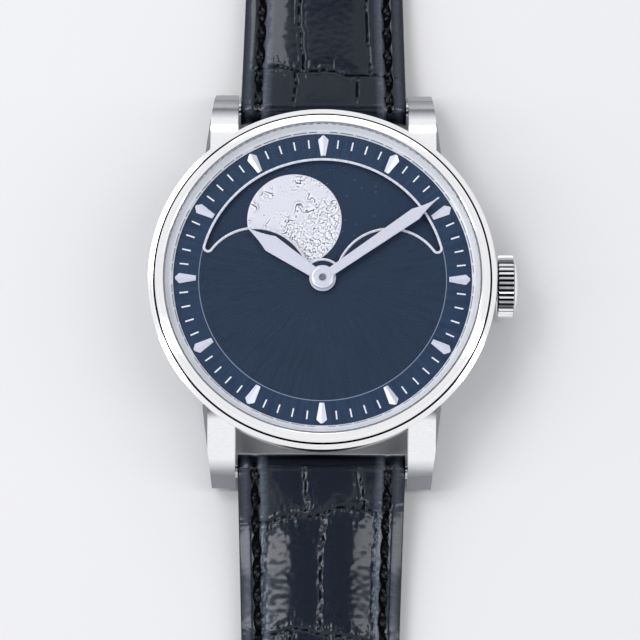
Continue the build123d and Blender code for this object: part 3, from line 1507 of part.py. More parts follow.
# Pallet fork: a lever between the escape wheel and the balance, with two stones
stone_bearings = [pallet_bearing + side for side in (-stone_spread, stone_spread)]
stone_ends = [
    (step_from(escape_centre, escape_radius + stone_gap, bearing),
     step_from(escape_centre, escape_radius + stone_gap + stone_length, bearing))
    for bearing in stone_bearings
]
fork_end = step_from(pallet_centre, fork_reach - horn_length, balance_bearing)
with BuildPart() as pallet_fork:
    with BuildSketch(Plane.XY.offset(escape_level)):
        for inner_end, outer_end in stone_ends:
            Polygon(*bar_points(pallet_centre, outer_end, fork_arm_width), align=None)
            with Locations(outer_end):
                Circle(fork_arm_width)
        Polygon(*bar_points(pallet_centre, fork_end, fork_lever_width), align=None)
        for side in (-horn_offset, horn_offset):
            root = step_from(fork_end, side, balance_bearing + 90)
            point = step_from(root, horn_length, balance_bearing)
            Polygon(*bar_points(root, point, horn_width), align=None)
        Polygon(*bar_points(step_from(fork_end, -horn_offset - horn_width / 2,
                                      balance_bearing + 90),
                            step_from(fork_end, horn_offset + horn_width / 2,
                                      balance_bearing + 90), fork_lever_width), align=None)
        for inner_end, outer_end in stone_ends:
            Polygon(*bar_points(inner_end, outer_end, stone_width), align=None,
                    mode=Mode.SUBTRACT)
    extrude(amount=wheel_thickness)
    with BuildSketch(Plane.XY.offset(pallet_bridge_level + end_shake)):
        with Locations(pallet_centre):
            Circle(arbor_radius)
    extrude(amount=plate_bottom + pivot_length - pallet_bridge_level)
pallet_fork.part.label = "pallet_fork"

with BuildPart() as pallet_stones:
    with BuildSketch(Plane.XY.offset(escape_level - end_shake)):
        for inner_end, outer_end in stone_ends:
            Polygon(*bar_points(inner_end, outer_end, stone_width), align=None)
    extrude(amount=wheel_thickness + 2 * end_shake)
pallet_stones.part.label = "pallet_stones"

# Balance: a rim on two arms, with its staff, roller and impulse pin
with BuildPart() as balance_wheel:
    with BuildSketch(Plane.XY.offset(balance_level)):
        Circle(balance_radius)
        Circle(balance_radius - balance_rim_width, mode=Mode.SUBTRACT)
        Rectangle(2 * balance_radius - balance_rim_width, spoke_width)
        Circle(wheel_hub_radius)
    extrude(amount=balance_rim_height)
    with BuildSketch(Plane.XZ):
        Polygon(*arbor_outline(bridge_outer_face + end_shake, plate_bottom + pivot_length),
                align=None)
    revolve(axis=Axis.Z)
    with BuildSketch(Plane.XY.offset(roller_level)):
        Circle(roller_radius)
    extrude(amount=wheel_thickness)
    with BuildSketch(Plane.XY.offset(roller_level)):
        with Locations(polar(impulse_pin_orbit, balance_bearing + 180)):
            Circle(impulse_pin_radius)
    extrude(amount=escape_level + wheel_thickness - roller_level)
    # Poising screws round the rim
    with BuildSketch(Plane.XY.offset(balance_level + poising_inset)):
        with PolarLocations(balance_radius, poising_screws, start_angle=poising_start):
            Rectangle(2 * poising_inset, 2 * poising_inset)
    extrude(amount=balance_rim_height - 2 * poising_inset)
balance_wheel.part = balance_wheel.part.moved(Location((*balance_centre, 0)))
balance_wheel.part.label = "balance_wheel"

with BuildPart() as hairspring:
    extrude(Plane.XY.offset(hairspring_level)
            * spiral_face(hairspring_inner, hairspring_outer, hairspring_turns,
                          hairspring_width),
            amount=hairspring_height)
    # Stud that pins the outer end to the cock
    with BuildSketch(Plane.XY.offset(hairspring_level)):
        with Locations((hairspring_outer + hairspring_width, 0)):
            Circle(stud_radius)
    extrude(amount=bridge_outer_face + cock_thickness - hairspring_level)
hairspring.part = hairspring.part.moved(Location((*balance_centre, 0), (0, 0, stud_bearing)))
hairspring.part.label = "hairspring"

# Spring bars: a thick tube with a thin sprung tip at each end
def make_spring_bar(label, reach):
    body_end = lug_gap / 2 - slip_fit
    tip_end = lug_gap / 2 + bar_tip_length - slip_fit
    with BuildPart() as spring_bar:
        with BuildSketch(Plane.XY):
            Polygon(
                (-tip_end, 0),
                (-tip_end, bar_tip_radius),
                (-body_end, bar_tip_radius),
                (-body_end, bar_radius),
                (body_end, bar_radius),
                (body_end, bar_tip_radius),
                (tip_end, bar_tip_radius),
                (tip_end, 0),
                align=None,
            )
        revolve(axis=Axis.X)
    spring_bar.part = spring_bar.part.moved(Location((0, reach, bar_height)))
    spring_bar.part.label = label
    return spring_bar


spring_bar_12 = make_spring_bar("spring_bar_12", bar_reach)
spring_bar_6 = make_spring_bar("spring_bar_6", -bar_reach)


# A padded strap half along +Y: flat below, with low borders and a crowned middle.
def strap_body(length, shares, bottoms):
    with BuildPart() as body:
        for (way, thick, edge), bottom in zip(shares, bottoms):
            reach = length * way
            taper = min(reach / strap_taper_length, 1)
            half = (strap_lug_width + (strap_end_width - strap_lug_width) * taper) / 2
            height = strap_bar_thickness * thick
            border = bottom + height * edge
            rise = border + strap_border_rise
            inner = half - strap_border
            with BuildSketch(Plane.XZ.offset(-bar_reach - reach)):
                with BuildLine():
                    Line((-inner, rise), (-half, border))
                    Line((-half, border), (-half, bottom))
                    Line((-half, bottom), (half, bottom))
                    Line((half, bottom), (half, border))
                    Line((half, border), (inner, rise))
                    ThreePointArc((inner, rise), (0, bottom + height), (-inner, rise))
                make_face()
        loft(ruled=True)
        # Rolled end round the spring bar
        with BuildSketch(Plane.YZ.offset(-strap_lug_width / 2)):
            with Locations((bar_reach, bar_height)):
                Circle(strap_bar_thickness / 2)
        extrude(amount=strap_lug_width)
        with BuildSketch(Plane.YZ.offset(-strap_lug_width / 2)):
            with Locations((bar_reach, bar_height)):
                Circle(bar_radius + running_gap)
        extrude(amount=strap_lug_width, mode=Mode.SUBTRACT)
    return body


strap_lift = keeper_wall + keeper_play
buckle_side_bottoms = (strap_drop, strap_drop / 3, 0, 0, 0, strap_lift, strap_lift, 0)
tail_side_bottoms = (strap_drop, strap_drop / 3, 0, 0, 0, 0, 0, 0)
buckle_bar_y = bar_reach + buckle_side_length
end_thickness = strap_bar_thickness * buckle_side_shares[-1][1]
buckle_bar_height = end_thickness / 2
with BuildPart() as strap_buckle_side:
    add(strap_body(buckle_side_length, buckle_side_shares, buckle_side_bottoms).part)
    # Rolled end round the buckle's bar, slotted for the tongue
    with BuildSketch(Plane.YZ.offset(-strap_end_width / 2)):
        with Locations((buckle_bar_y, buckle_bar_height)):
            Circle(end_thickness / 2)
    extrude(amount=strap_end_width)
    with BuildSketch(Plane.YZ.offset(-strap_end_width / 2)):
        with Locations((buckle_bar_y, buckle_bar_height)):
            Circle(buckle_bar_radius + running_gap)
    extrude(amount=strap_end_width, mode=Mode.SUBTRACT)
    with BuildSketch(Plane.XY):
        with Locations((0, buckle_bar_y)):
            SlotOverall(2 * tongue_slot_length, tongue_width + 2 * soft_gap, rotation=90)
    extrude(amount=strap_bar_thickness, mode=Mode.SUBTRACT)
strap_buckle_side.part.label = "strap_buckle_side"

tail_end_y = bar_reach + tail_side_length
with BuildPart() as tail_body:
    add(strap_body(tail_side_length, tail_side_shares, tail_side_bottoms).part)
    # Pointed round tip
    with BuildSketch(Plane.XY):
        with BuildLine():
            Polyline(
                (-strap_end_width / 2, tail_end_y - strap_tip_length),
                (-strap_lug_width, tail_end_y - strap_tip_length),
                (-strap_lug_width, 0),
                (strap_lug_width, 0),
                (strap_lug_width, tail_end_y - strap_tip_length),
                (strap_end_width / 2, tail_end_y - strap_tip_length),
            )
            ThreePointArc(
                (strap_end_width / 2, tail_end_y - strap_tip_length),
                (strap_end_width * strap_tip_share, tail_end_y - strap_tip_length * strap_tip_share),
                (0, tail_end_y),
            )
            ThreePointArc(
                (0, tail_end_y),
                (-strap_end_width * strap_tip_share,
                 tail_end_y - strap_tip_length * strap_tip_share),
                (-strap_end_width / 2, tail_end_y - strap_tip_length),
            )
        make_face()
    extrude(amount=2 * strap_bar_thickness, mode=Mode.INTERSECT)
    with BuildSketch(Plane.XY):
        for number in range(strap_hole_count):
            with Locations((0, tail_end_y - strap_first_hole - number * strap_hole_pitch)):
                Circle(strap_hole_radius)
    extrude(amount=strap_bar_thickness, mode=Mode.SUBTRACT)
with BuildPart() as strap_tail_side:
    with Locations(Location((0, 0, 0), (0, 0, 180))):
        add(tail_body.part)
strap_tail_side.part.label = "strap_tail_side"


# A keeper: a leather loop round the strap with room for the tail above it.
def make_keeper(label, setback):
    inner_half = strap_end_width / 2 + keeper_play
    inner_top = strap_lift + 2 * end_thickness + soft_gap + keeper_play
    with BuildPart() as keeper:
        with BuildSketch(Plane.XZ.offset(-(buckle_bar_y - setback + keeper_length / 2))):
            with Locations((0, (inner_top + keeper_wall) / 2)):
                RectangleRounded(2 * (inner_half + keeper_wall), inner_top + keeper_wall,
                                 keeper_wall)
            with Locations((0, (inner_top + keeper_wall) / 2)):
                Rectangle(2 * inner_half, inner_top - keeper_wall, mode=Mode.SUBTRACT)
        extrude(amount=keeper_length)
    keeper.part.label = label
    return keeper


fixed_keeper = make_keeper("fixed_keeper", fixed_keeper_setback)
free_keeper = make_keeper("free_keeper", free_keeper_setback)

# Buckle: a rounded frame that swings on the bar, and its tongue
buckle_low = buckle_bar_height - buckle_thickness / 2
buckle_half = buckle_inner_width / 2 + buckle_wire
with BuildPart() as buckle:
    with BuildSketch(Plane.XY.offset(buckle_low)):
        with BuildLine():
            back = buckle_bar_y - buckle_thickness / 2
            front = buckle_bar_y + buckle_reach
            inner_front = front - buckle_wire
            inner_half = buckle_inner_width / 2
            FilletPolyline(
                (-buckle_half, back), (-buckle_half, front), (buckle_half, front),
                (buckle_half, back), radius=buckle_corner)
            Polyline((buckle_half, back), (inner_half, back), (inner_half, inner_front),
                     (-inner_half, inner_front), (-inner_half, back), (-buckle_half, back))
        make_face()
    extrude(amount=buckle_thickness)
    fillet(buckle.faces().sort_by(Axis.Z)[-1].edges().filter_by(
        lambda edge: abs(edge.center().X) > inner_half or edge.center().Y > inner_front),
        buckle_round)
    with BuildSketch(Plane.YZ.offset(-buckle_half)):
        with Locations((buckle_bar_y, buckle_bar_height)):
            Circle(buckle_bar_radius + slip_fit)
    extrude(amount=2 * buckle_half, mode=Mode.SUBTRACT)
buckle.part.label = "buckle"

with BuildPart() as buckle_bar:
    with BuildSketch(Plane.YZ.offset(-buckle_half + buckle_round)):
        with Locations((buckle_bar_y, buckle_bar_height)):
            Circle(buckle_bar_radius)
    extrude(amount=2 * (buckle_half - buckle_round))
buckle_bar.part.label = "buckle_bar"

with BuildPart() as buckle_tongue:
    rest_level = buckle_low + buckle_thickness + running_gap
    with BuildSketch(Plane.YZ.offset(-tongue_width / 2)):
        with BuildLine():
            Polyline(
                (buckle_bar_y, buckle_bar_height),
                (buckle_bar_y + tongue_eye_radius, buckle_bar_height),
                (inner_front - tongue_thickness, rest_level),
                (front - buckle_round, rest_level),
                (front - buckle_round, rest_level + tongue_thickness * tongue_tip_share),
                (inner_front, rest_level + tongue_thickness),
                (buckle_bar_y, buckle_bar_height + tongue_eye_radius),
                (buckle_bar_y, buckle_bar_height),
            )
        make_face()
        with Locations((buckle_bar_y, buckle_bar_height)):
            Circle(tongue_eye_radius)
            Circle(buckle_bar_radius + slip_fit, mode=Mode.SUBTRACT)
    extrude(amount=tongue_width)
buckle_tongue.part.label = "buckle_tongue"

pieces = [
    case_middle, bezel, case_back, case_back_crystal, case_back_gasket, case_back_screws,
    crystal, crystal_gasket, flange_ring, dial_plate, aperture_rim, hour_markers, hour_hand,
    minute_hand, moon_disc, moons, cannon_pinion, minute_wheel, hour_wheel, moon_first_wheel,
    moon_second_wheel, centre_wheel, third_wheel, fourth_wheel, escape_wheel, pallet_fork,
    pallet_stones, balance_wheel, hairspring, barrel, barrel_lid, barrel_arbor, mainspring,
    ratchet_wheel, crown_wheel, click, winding_pinion, winding_stem, crown_tube, crown,
    crown_gasket, main_plate, dial_spacer_ring, casing_ring, barrel_bridge, train_bridge,
    balance_cock, pallet_bridge, bridge_jewels, bridge_screws, spring_bar_12, spring_bar_6,
    strap_buckle_side, strap_tail_side, fixed_keeper, free_keeper, buckle, buckle_bar,
    buckle_tongue,
]
for piece in pieces:
    export_step(piece.part, f"parts/{piece.part.label}.step")
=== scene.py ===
import bmesh
import bpy
import math
import numpy as np
import random
from mathutils import Matrix, Vector, noise


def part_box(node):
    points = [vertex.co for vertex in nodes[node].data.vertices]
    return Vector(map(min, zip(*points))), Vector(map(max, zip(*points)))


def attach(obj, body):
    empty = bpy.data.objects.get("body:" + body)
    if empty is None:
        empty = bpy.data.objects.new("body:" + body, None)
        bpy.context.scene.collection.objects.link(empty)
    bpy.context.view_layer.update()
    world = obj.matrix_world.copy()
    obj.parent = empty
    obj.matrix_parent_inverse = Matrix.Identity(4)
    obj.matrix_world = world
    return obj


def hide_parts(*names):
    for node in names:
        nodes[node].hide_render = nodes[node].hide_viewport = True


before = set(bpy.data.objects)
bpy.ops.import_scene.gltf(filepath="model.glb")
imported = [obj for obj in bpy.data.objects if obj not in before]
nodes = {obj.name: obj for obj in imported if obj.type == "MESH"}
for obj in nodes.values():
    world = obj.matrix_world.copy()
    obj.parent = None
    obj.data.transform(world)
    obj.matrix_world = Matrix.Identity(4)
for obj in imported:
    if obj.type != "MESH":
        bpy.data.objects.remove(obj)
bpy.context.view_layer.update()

mm = 0.001
# The shader that each new material starts with
main = "Principled BSDF"


# An sRGB hex colour as the linear colour that a shader takes.
def shade(text):
    parts = [int(text[start:start + 2], 16) / 255 for start in (1, 3, 5)]
    return [part / 12.92 if part <= 0.04045 else ((part + 0.055) / 1.055) ** 2.4
            for part in parts] + [1.0]


# A new material with its shader's own numbers, and its node tree.
def new_finish(name, **numbers):
    made = bpy.data.materials.new(name)
    made.use_nodes = True
    for key, value in numbers.items():
        made.node_tree.nodes[main].inputs[key.replace("_", " ")].default_value = value
    return made, made.node_tree


# Adds a node with its settings and colour stops, and links or sets its sockets.
def add_node(tree, kind, settings=None, sockets=None, stops=()):
    node = tree.nodes.new(kind)
    for key, value in (settings or {}).items():
        setattr(node, key, value)
    for number, (place, tint) in enumerate(stops):
        if number > 1:
            node.color_ramp.elements.new(place)
        node.color_ramp.elements[number].position = place
        node.color_ramp.elements[number].color = shade(tint)
    for key, value in (sockets or {}).items():
        if isinstance(value, bpy.types.NodeSocket):
            tree.links.new(value, node.inputs[key])
        else:
            node.inputs[key].default_value = value
    return node


# The outcome of one sum on some values, each a socket or a number.
def reckon(tree, operation, *values):
    return add_node(tree, "ShaderNodeMath", {"operation": operation},
                    dict(enumerate(values))).outputs[0]


# Goes from low to high while a value goes from start to stop, and stays level past them.
def ramp(tree, value, start, stop, low=0.0, high=1.0):
    return add_node(tree, "ShaderNodeMapRange", sockets={
        "Value": value, "From Min": start, "From Max": stop, "To Min": low,
        "To Max": high}).outputs[0]


# Object coordinates about a place in mm, turned by some degrees and stretched.
def place_on(tree, centre=(0, 0, 0), scale=(1, 1, 1), turn=0):
    found = add_node(tree, "ShaderNodeTexCoord")
    moved = add_node(tree, "ShaderNodeVectorMath", {"operation": "SUBTRACT"}, {
        0: found.outputs["Object"], 1: [part * mm for part in centre]})
    return add_node(tree, "ShaderNodeMapping", sockets={
        "Vector": moved.outputs[0], "Rotation": (0, 0, math.radians(turn)),
        "Scale": scale}).outputs[0]


# The radius and the angle about a place, and a grain that runs round it or out from it.
def turned(tree, centre, ring_size, ray_count, detail=3.0):
    parts = add_node(tree, "ShaderNodeSeparateXYZ", sockets={0: place_on(tree, centre)})
    flat = add_node(tree, "ShaderNodeCombineXYZ", sockets={
        0: parts.outputs[0], 1: parts.outputs[1]})
    radius = add_node(tree, "ShaderNodeVectorMath", {"operation": "LENGTH"},
                      {0: flat.outputs[0]}).outputs["Value"]
    angle = reckon(tree, "ARCTAN2", parts.outputs[1], parts.outputs[0])
    spread = add_node(tree, "ShaderNodeCombineXYZ", sockets={0: radius, 1: angle})
    grain = add_node(tree, "ShaderNodeMapping", sockets={
        "Vector": spread.outputs[0], "Scale": (1 / (ring_size * mm), ray_count, 1)})
    lines = add_node(tree, "ShaderNodeTexNoise", sockets={
        "Vector": grain.outputs[0], "Scale": 1.0, "Detail": detail})
    return radius, angle, lines.outputs[0]


# One from rise to fall, in mm, and nothing before start and past stop.
def band(tree, value, start, rise, fall, stop):
    begin = ramp(tree, value, start * mm, rise * mm)
    end = ramp(tree, value, stop * mm, fall * mm)
    return reckon(tree, "MULTIPLY", begin, end)


# Lets a pattern drive a finish: its tints, its roughness and its relief in mm.
def lay(finish, pattern, tints, rough, depth=0.0, span=(0.3, 0.7), under=None):
    tree = finish.node_tree
    shader = tree.nodes[main]
    level = ramp(tree, pattern, *span)
    places = [number / (len(tints) - 1) for number in range(len(tints))]
    colour = add_node(tree, "ShaderNodeValToRGB", sockets={"Fac": level},
                      stops=list(zip(places, tints)))
    tree.links.new(colour.outputs[0], shader.inputs["Base Color"])
    tree.links.new(ramp(tree, level, 0.0, 1.0, *rough), shader.inputs["Roughness"])
    if depth:
        relief = add_node(tree, "ShaderNodeBump", sockets={
            "Height": level, "Distance": depth * mm, "Strength": 1.0})
        if under:
            tree.links.new(under, relief.inputs["Normal"])
        tree.links.new(relief.outputs[0], shader.inputs["Normal"])


# Paints a colour over what a finish shows so far, by the share that a mask gives.
def paint(finish, mask, tint):
    tree = finish.node_tree
    shader = tree.nodes[main]
    below = shader.inputs["Base Color"].links[0].from_socket
    mixed = add_node(tree, "ShaderNodeMix", {"data_type": "RGBA"}, {
        0: mask, 6: below, 7: shade(tint)})
    tree.links.new(mixed.outputs[2], shader.inputs["Base Color"])


# One for light that a mirror or a glass passes on, and nothing for any other light.
def passed_on(tree):
    path = add_node(tree, "ShaderNodeLightPath")
    return reckon(tree, "MAXIMUM", path.outputs["Is Glossy Ray"],
                  path.outputs["Is Transmission Ray"])


# A finished piece from a bmesh in mm, riding on a body, with smooth or flat faces.
def piece(name, mesh, finish, body, smooth=True, angle=None, replaces=()):
    bmesh.ops.scale(mesh, vec=(mm, mm, mm), verts=mesh.verts)
    data = bpy.data.meshes.new(name)
    mesh.to_mesh(data)
    mesh.free()
    for polygon in data.polygons:
        polygon.use_smooth = smooth
    if smooth and angle:
        data.set_sharp_from_angle(angle=math.radians(angle))
    made = bpy.data.objects.new(name, data)
    bpy.context.scene.collection.objects.link(made)
    data.materials.append(finish)
    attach(made, body)
    if replaces:
        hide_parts(*replaces)
    return made


# Finishes

# Each plain finish is one noise pattern, with its stretch, its grain in mm and its detail. It
# moves the colour and the roughness between two values, and may raise a relief in mm
even = (1, 1, 1)
plain = {}
for name, numbers, stretch, size, detail, tints, rough, depth in (
        # A near-white mirror with a faint haze and hairlines from wear
        ("polished_stainless_steel", {"Metallic": 1.0}, (1, 12, 3), 0.35, 3.0,
         ("#E2E3E6", "#EDEDF0"), (0.05, 0.12), 0.0005),
        # Plate with a satin top, as on the hands: cool, pale and even
        ("satin_rhodium_plate", {"Metallic": 0.6}, even, 0.12, 2.0,
         ("#D6D7E2", "#E4E5EE"), (0.34, 0.44), 0.0015),
        # Polished wire round the aperture: brighter, and clearer at the edges
        ("polished_rhodium_plate", {"Metallic": 0.1}, even, 0.4, 2.0,
         ("#EDEDF4", "#F8F8FC"), (0.22, 0.32), 0.0),
        # Opaque and matt ink
        ("white_printing_ink", {}, even, 0.08, 2.0, ("#F0F1F7", "#FBFBFE"), (0.4, 0.55), 0.0),
        # Warm gilding over a fine turned grain
        ("gilt_brass", {"Metallic": 1.0}, even, 0.15, 3.0,
         ("#C39A4E", "#DDB86E"), (0.22, 0.36), 0.002),
        # Grey steel with a straight fine grain
        ("hardened_steel", {"Metallic": 1.0}, (1, 10, 1), 0.5, 3.0,
         ("#BFC0C3", "#DADBDE"), (0.14, 0.28), 0.003),
        # An oxide film that goes from cornflower blue to violet
        ("heat_blued_steel", {"Metallic": 1.0}, even, 0.9, 2.0,
         ("#1B3FA0", "#2E2A86"), (0.12, 0.22), 0.0),
        # Clear deep red stone with a polished face
        ("synthetic_ruby", {"IOR": 1.77, "Coat_Weight": 0.5}, even, 0.5, 2.0,
         ("#8E0E34", "#C2185A"), (0.06, 0.12), 0.0),
        # Matt black with a fine moulded grain
        ("nitrile_rubber", {}, even, 0.06, 2.0, ("#141416", "#1E1E20"), (0.6, 0.75), 0.004),
        # Translucent grey, seen as a thin line between the bezel and the flange
        ("moulded_nylon", {"Specular_IOR_Level": 0.4}, even, 0.5, 2.0,
         ("#6A6C71", "#7C7E83"), (0.4, 0.5), 0.0),
        # Painted shade laid over the leather where the needle slots are: dull and quite black
        ("needle_slot_painted_shade", {"Specular_IOR_Level": 0.05}, even, 0.1, 2.0,
         ("#010102", "#040506"), (0.8, 0.95), 0.01),
        # Black with a soft shine of wax; the twist is in the mesh
        ("waxed_linen_thread", {"Specular_IOR_Level": 0.3}, even, 0.07, 2.0,
         ("#08090D", "#15171D"), (0.3, 0.5), 0.01)):
    finish, tree = new_finish(name, **numbers)
    grain = add_node(tree, "ShaderNodeTexNoise", sockets={
        "Vector": place_on(tree, scale=stretch), "Scale": 1 / (size * mm), "Detail": detail})
    lay(finish, grain.outputs[0], tints, rough, depth)
    plain[name] = finish

# Case middle: polished on top, and brushed on its flanks, bevels and lug tips, whose grey is
# painted shade: steep faces are darkened as if they mirrored a dark room
case_steel, tree = new_finish("polished_and_brushed_steel_with_painted_shade", Metallic=1.0)
grain = add_node(tree, "ShaderNodeTexNoise", sockets={
    "Vector": place_on(tree, scale=(1, 1, 14)), "Scale": 1 / (0.6 * mm), "Detail": 3.0})
lay(case_steel, grain.outputs[0], ("#EAEBEE", "#F2F2F5"), (0.07, 0.12), 0.0001)
facing = add_node(tree, "ShaderNodeNewGeometry")
slope = add_node(tree, "ShaderNodeSeparateXYZ", sockets={0: facing.outputs["Normal"]})
steep_brushed_and_shaded = ramp(tree, slope.outputs[2], 0.82, 0.72)
# Painted shade: faces tilted past about 35 to 44 degrees are tinted dark grey; their higher
# roughness below is the real brushing
paint(case_steel, steep_brushed_and_shaded, "#8D8F94")
softer = ramp(tree, steep_brushed_and_shaded, 0.0, 1.0, 0.09, 0.28)
tree.links.new(softer, tree.nodes[main].inputs["Roughness"])

# The same steel, turned so that its grain runs in rings round the case: softer and greyer
ring_satin, tree = new_finish("ring_turned_stainless_steel", Metallic=1.0)
lay(ring_satin, turned(tree, (0, 0, 0), 0.09, 2.0)[2],
    ("#C9CACD", "#E2E3E5"), (0.2, 0.34), 0.004)

# Bezel: the polished steel, with painted shade drawn dark in the groove near its outer edge
bezel_steel, tree = new_finish("polished_bezel_steel", Metallic=1.0)
radius, _, lines = turned(tree, (0, 0, 0), 0.2, 1.0)
lay(bezel_steel, lines, ("#E8E8EB", "#F0F0F3"), (0.04, 0.1), 0.0004)
# Painted shade: a dark ring over the groove, from 20.2 to 20.41 mm out
paint(bezel_steel, band(tree, radius, 20.18, 20.2, 20.41, 20.43), "#2A2B2E")
# The polisher's mop rounds the band, so it mirrors what lies higher than its slope alone would
facing = add_node(tree, "ShaderNodeNewGeometry")
share = ramp(tree, radius, 20.2 * mm, 20.3 * mm, 0.9, -0.1)
upward = add_node(tree, "ShaderNodeCombineXYZ", sockets={2: share})
lifted = add_node(tree, "ShaderNodeVectorMath", {"operation": "ADD"}, {
    0: facing.outputs["Normal"], 1: upward.outputs[0]})
rounded = add_node(tree, "ShaderNodeVectorMath", {"operation": "NORMALIZE"}, {
    0: lifted.outputs[0]})
tree.links.new(rounded.outputs[0], tree.nodes[main].inputs["Normal"])

# Crown: the polished steel, with painted shade at the bottom of the flutes
crown_steel, tree = new_finish("polished_fluted_steel", Metallic=1.0)
stain = add_node(tree, "ShaderNodeTexNoise", sockets={
    "Vector": place_on(tree), "Scale": 1 / (1.2 * mm)})
lay(crown_steel, stain.outputs[0], ("#E6E7EA", "#F2F2F5"), (0.06, 0.12))
spot = add_node(tree, "ShaderNodeVectorMath", {"operation": "MULTIPLY"}, {
    0: place_on(tree, (0, 0, 5.0)), 1: (0, 1, 1)})
reach = add_node(tree, "ShaderNodeVectorMath", {"operation": "LENGTH"}, {0: spot.outputs[0]})
# Painted shade: dark in the flutes' bottoms, within 3.46 to 3.58 mm of the crown's axis, on its
# flank only
flute_shade = ramp(tree, reach.outputs["Value"], 3.58 * mm, 3.46 * mm)
along = add_node(tree, "ShaderNodeSeparateXYZ", sockets={0: place_on(tree)})
flank = ramp(tree, along.outputs[0], 23.2 * mm, 23.1 * mm)
paint(crown_steel, reckon(tree, "MULTIPLY", flute_shade, flank), "#1E1F22")

# Flange: satin silver plate with a fine scribed line near its foot, crossed by a short
# bright mark at each minute and a bright block at each hour
flange, tree = new_finish("satin_silver_plate", Metallic=0.15)
radius, angle, lines = turned(tree, (0, 0, 0), 0.08, 3.0)
lay(flange, lines, ("#F6F6F7", "#FEFEFE"), (0.3, 0.42), 0.002)
parts = {}
for name, count, share in (("minutes", 60, 0.075), ("hours", 12, 0.085)):
    turns = reckon(tree, "MULTIPLY_ADD", angle, count / math.tau, 0.5 + count)
    off = reckon(tree, "SUBTRACT", reckon(tree, "FRACT", turns), 0.5)
    parts[name] = ramp(tree, reckon(tree, "ABSOLUTE", off), share * 1.1, share * 0.9)
blur = 0.015
for inner, outer, turn, colour in (
        (18.13, 18.2, 1.0, "#3E4756"), (18.04, 18.28, parts["minutes"], "#FDFDFF"),
        (18.0, 18.36, parts["hours"], "#FDFDFF")):
    around = band(tree, radius, inner - blur, inner + blur, outer - blur, outer + blur)
    paint(flange, reckon(tree, "MULTIPLY", around, turn), colour)

# Dial lacquer over engine turning: deep blue, hatched inside the raised chapter band, with
# a paler turned step between them. The real hatch is about 0.1 mm wide, and is drawn at
# 0.28 mm so that it shows
dial_blue, tree = new_finish("blue_lacquer_on_engine_turned_brass", Coat_Weight=0.08,
                             Coat_Roughness=0.15, Specular_IOR_Level=0.2)
radius, _, rays = turned(tree, (0, 0, 0), 4.0, 26.0, 2.0)
inside = ramp(tree, radius, 14.92 * mm, 14.88 * mm)
hatch = add_node(tree, "ShaderNodeTexWave", {"bands_direction": "X"}, {
    "Vector": place_on(tree, turn=38), "Scale": math.pi / 10 / (0.28 * mm)})
hatched = reckon(tree, "MULTIPLY", hatch.outputs["Fac"], inside)
under = add_node(tree, "ShaderNodeBump", sockets={"Height": hatched, "Distance": 0.012 * mm})
lay(dial_blue, rays, ("#23364E", "#2A405A"), (0.34, 0.44), 0.001, under=under.outputs[0])
paint(dial_blue, reckon(tree, "MULTIPLY", hatched, 0.8), "#0B1626")
paint(dial_blue, band(tree, radius, 14.86, 14.9, 14.97, 15.0), "#8E9AAE")

# Moon disc: the same blue with a fine sparkle of star dust in the lacquer
night_blue, tree = new_finish("blue_star_dust_lacquer", Coat_Weight=0.08,
                              Coat_Roughness=0.15, Specular_IOR_Level=0.2)
dust = add_node(tree, "ShaderNodeTexVoronoi", sockets={
    "Vector": place_on(tree), "Scale": 1 / (0.9 * mm)})
lay(night_blue, dust.outputs["Distance"], ("#627493", "#21334A", "#21334A"), (0.34, 0.42),
    0.001, span=(0.04, 0.16))

# Frosted silver for the moons: pale, matt and faintly lilac, with painted shade in hollows and
# painted highlight on raised points
moon_silver, tree = new_finish("frosted_silver_relief", Metallic=0.1)
relief_shading = add_node(tree, "ShaderNodeAttribute", {"attribute_name": "relief_shading"})
frost = add_node(tree, "ShaderNodeTexNoise", sockets={
    "Vector": place_on(tree), "Scale": 1 / (0.05 * mm)})
under = add_node(tree, "ShaderNodeBump", sockets={
    "Height": frost.outputs[0], "Distance": 0.002 * mm})
# Painted shade and highlight: the colour runs from dark grey in hollows to white on raised points
lay(moon_silver, relief_shading.outputs["Fac"], ("#34323C", "#B9B5C0", "#E9E7EE", "#FFFFFF"),
    (0.55, 0.42), 0.0001, span=(0.0, 1.0), under=under.outputs[0])

# Nickel silver bridges with milled stripes 2 mm apart, and fine lines inside each
striped, tree = new_finish("striped_nickel_silver", Metallic=1.0)
fine = add_node(tree, "ShaderNodeTexNoise", sockets={
    "Vector": place_on(tree, scale=(14, 1, 1), turn=-35), "Scale": 1 / (0.9 * mm)})
under = add_node(tree, "ShaderNodeBump", sockets={
    "Height": fine.outputs[0], "Distance": 0.004 * mm})
stripes = add_node(tree, "ShaderNodeTexWave", {"bands_direction": "X", "wave_profile": "SAW"}, {
    "Vector": place_on(tree, turn=-35), "Scale": math.pi / 10 / (2.0 * mm)})
lay(striped, stripes.outputs["Fac"], ("#B2AFA7", "#D8D6CF", "#EAE8E2"), (0.2, 0.32), 0.05,
    span=(0.0, 1.0), under=under.outputs[0])

# Main plate: nickel silver stippled with overlapping round grains 0.8 mm across
grained, tree = new_finish("circular_grained_nickel_silver", Metallic=1.0)
cells = add_node(tree, "ShaderNodeTexVoronoi", sockets={
    "Vector": place_on(tree), "Scale": 1 / (0.8 * mm), "Randomness": 0.25})
rings = reckon(tree, "SINE", reckon(tree, "MULTIPLY", cells.outputs["Distance"], 60.0))
lay(grained, rings, ("#B8B5AC", "#D9D6CE"), (0.24, 0.36), 0.006, span=(-1.0, 1.0))

# Winding wheels: steel with a sunray grain about the barrel's axis
sunray, tree = new_finish("sunray_steel", Metallic=1.0)
lay(sunray, turned(tree, (4.165, 5.331, 0), 3.0, 60.0)[2],
    ("#BDBEC1", "#E6E6E8"), (0.16, 0.3), 0.006)

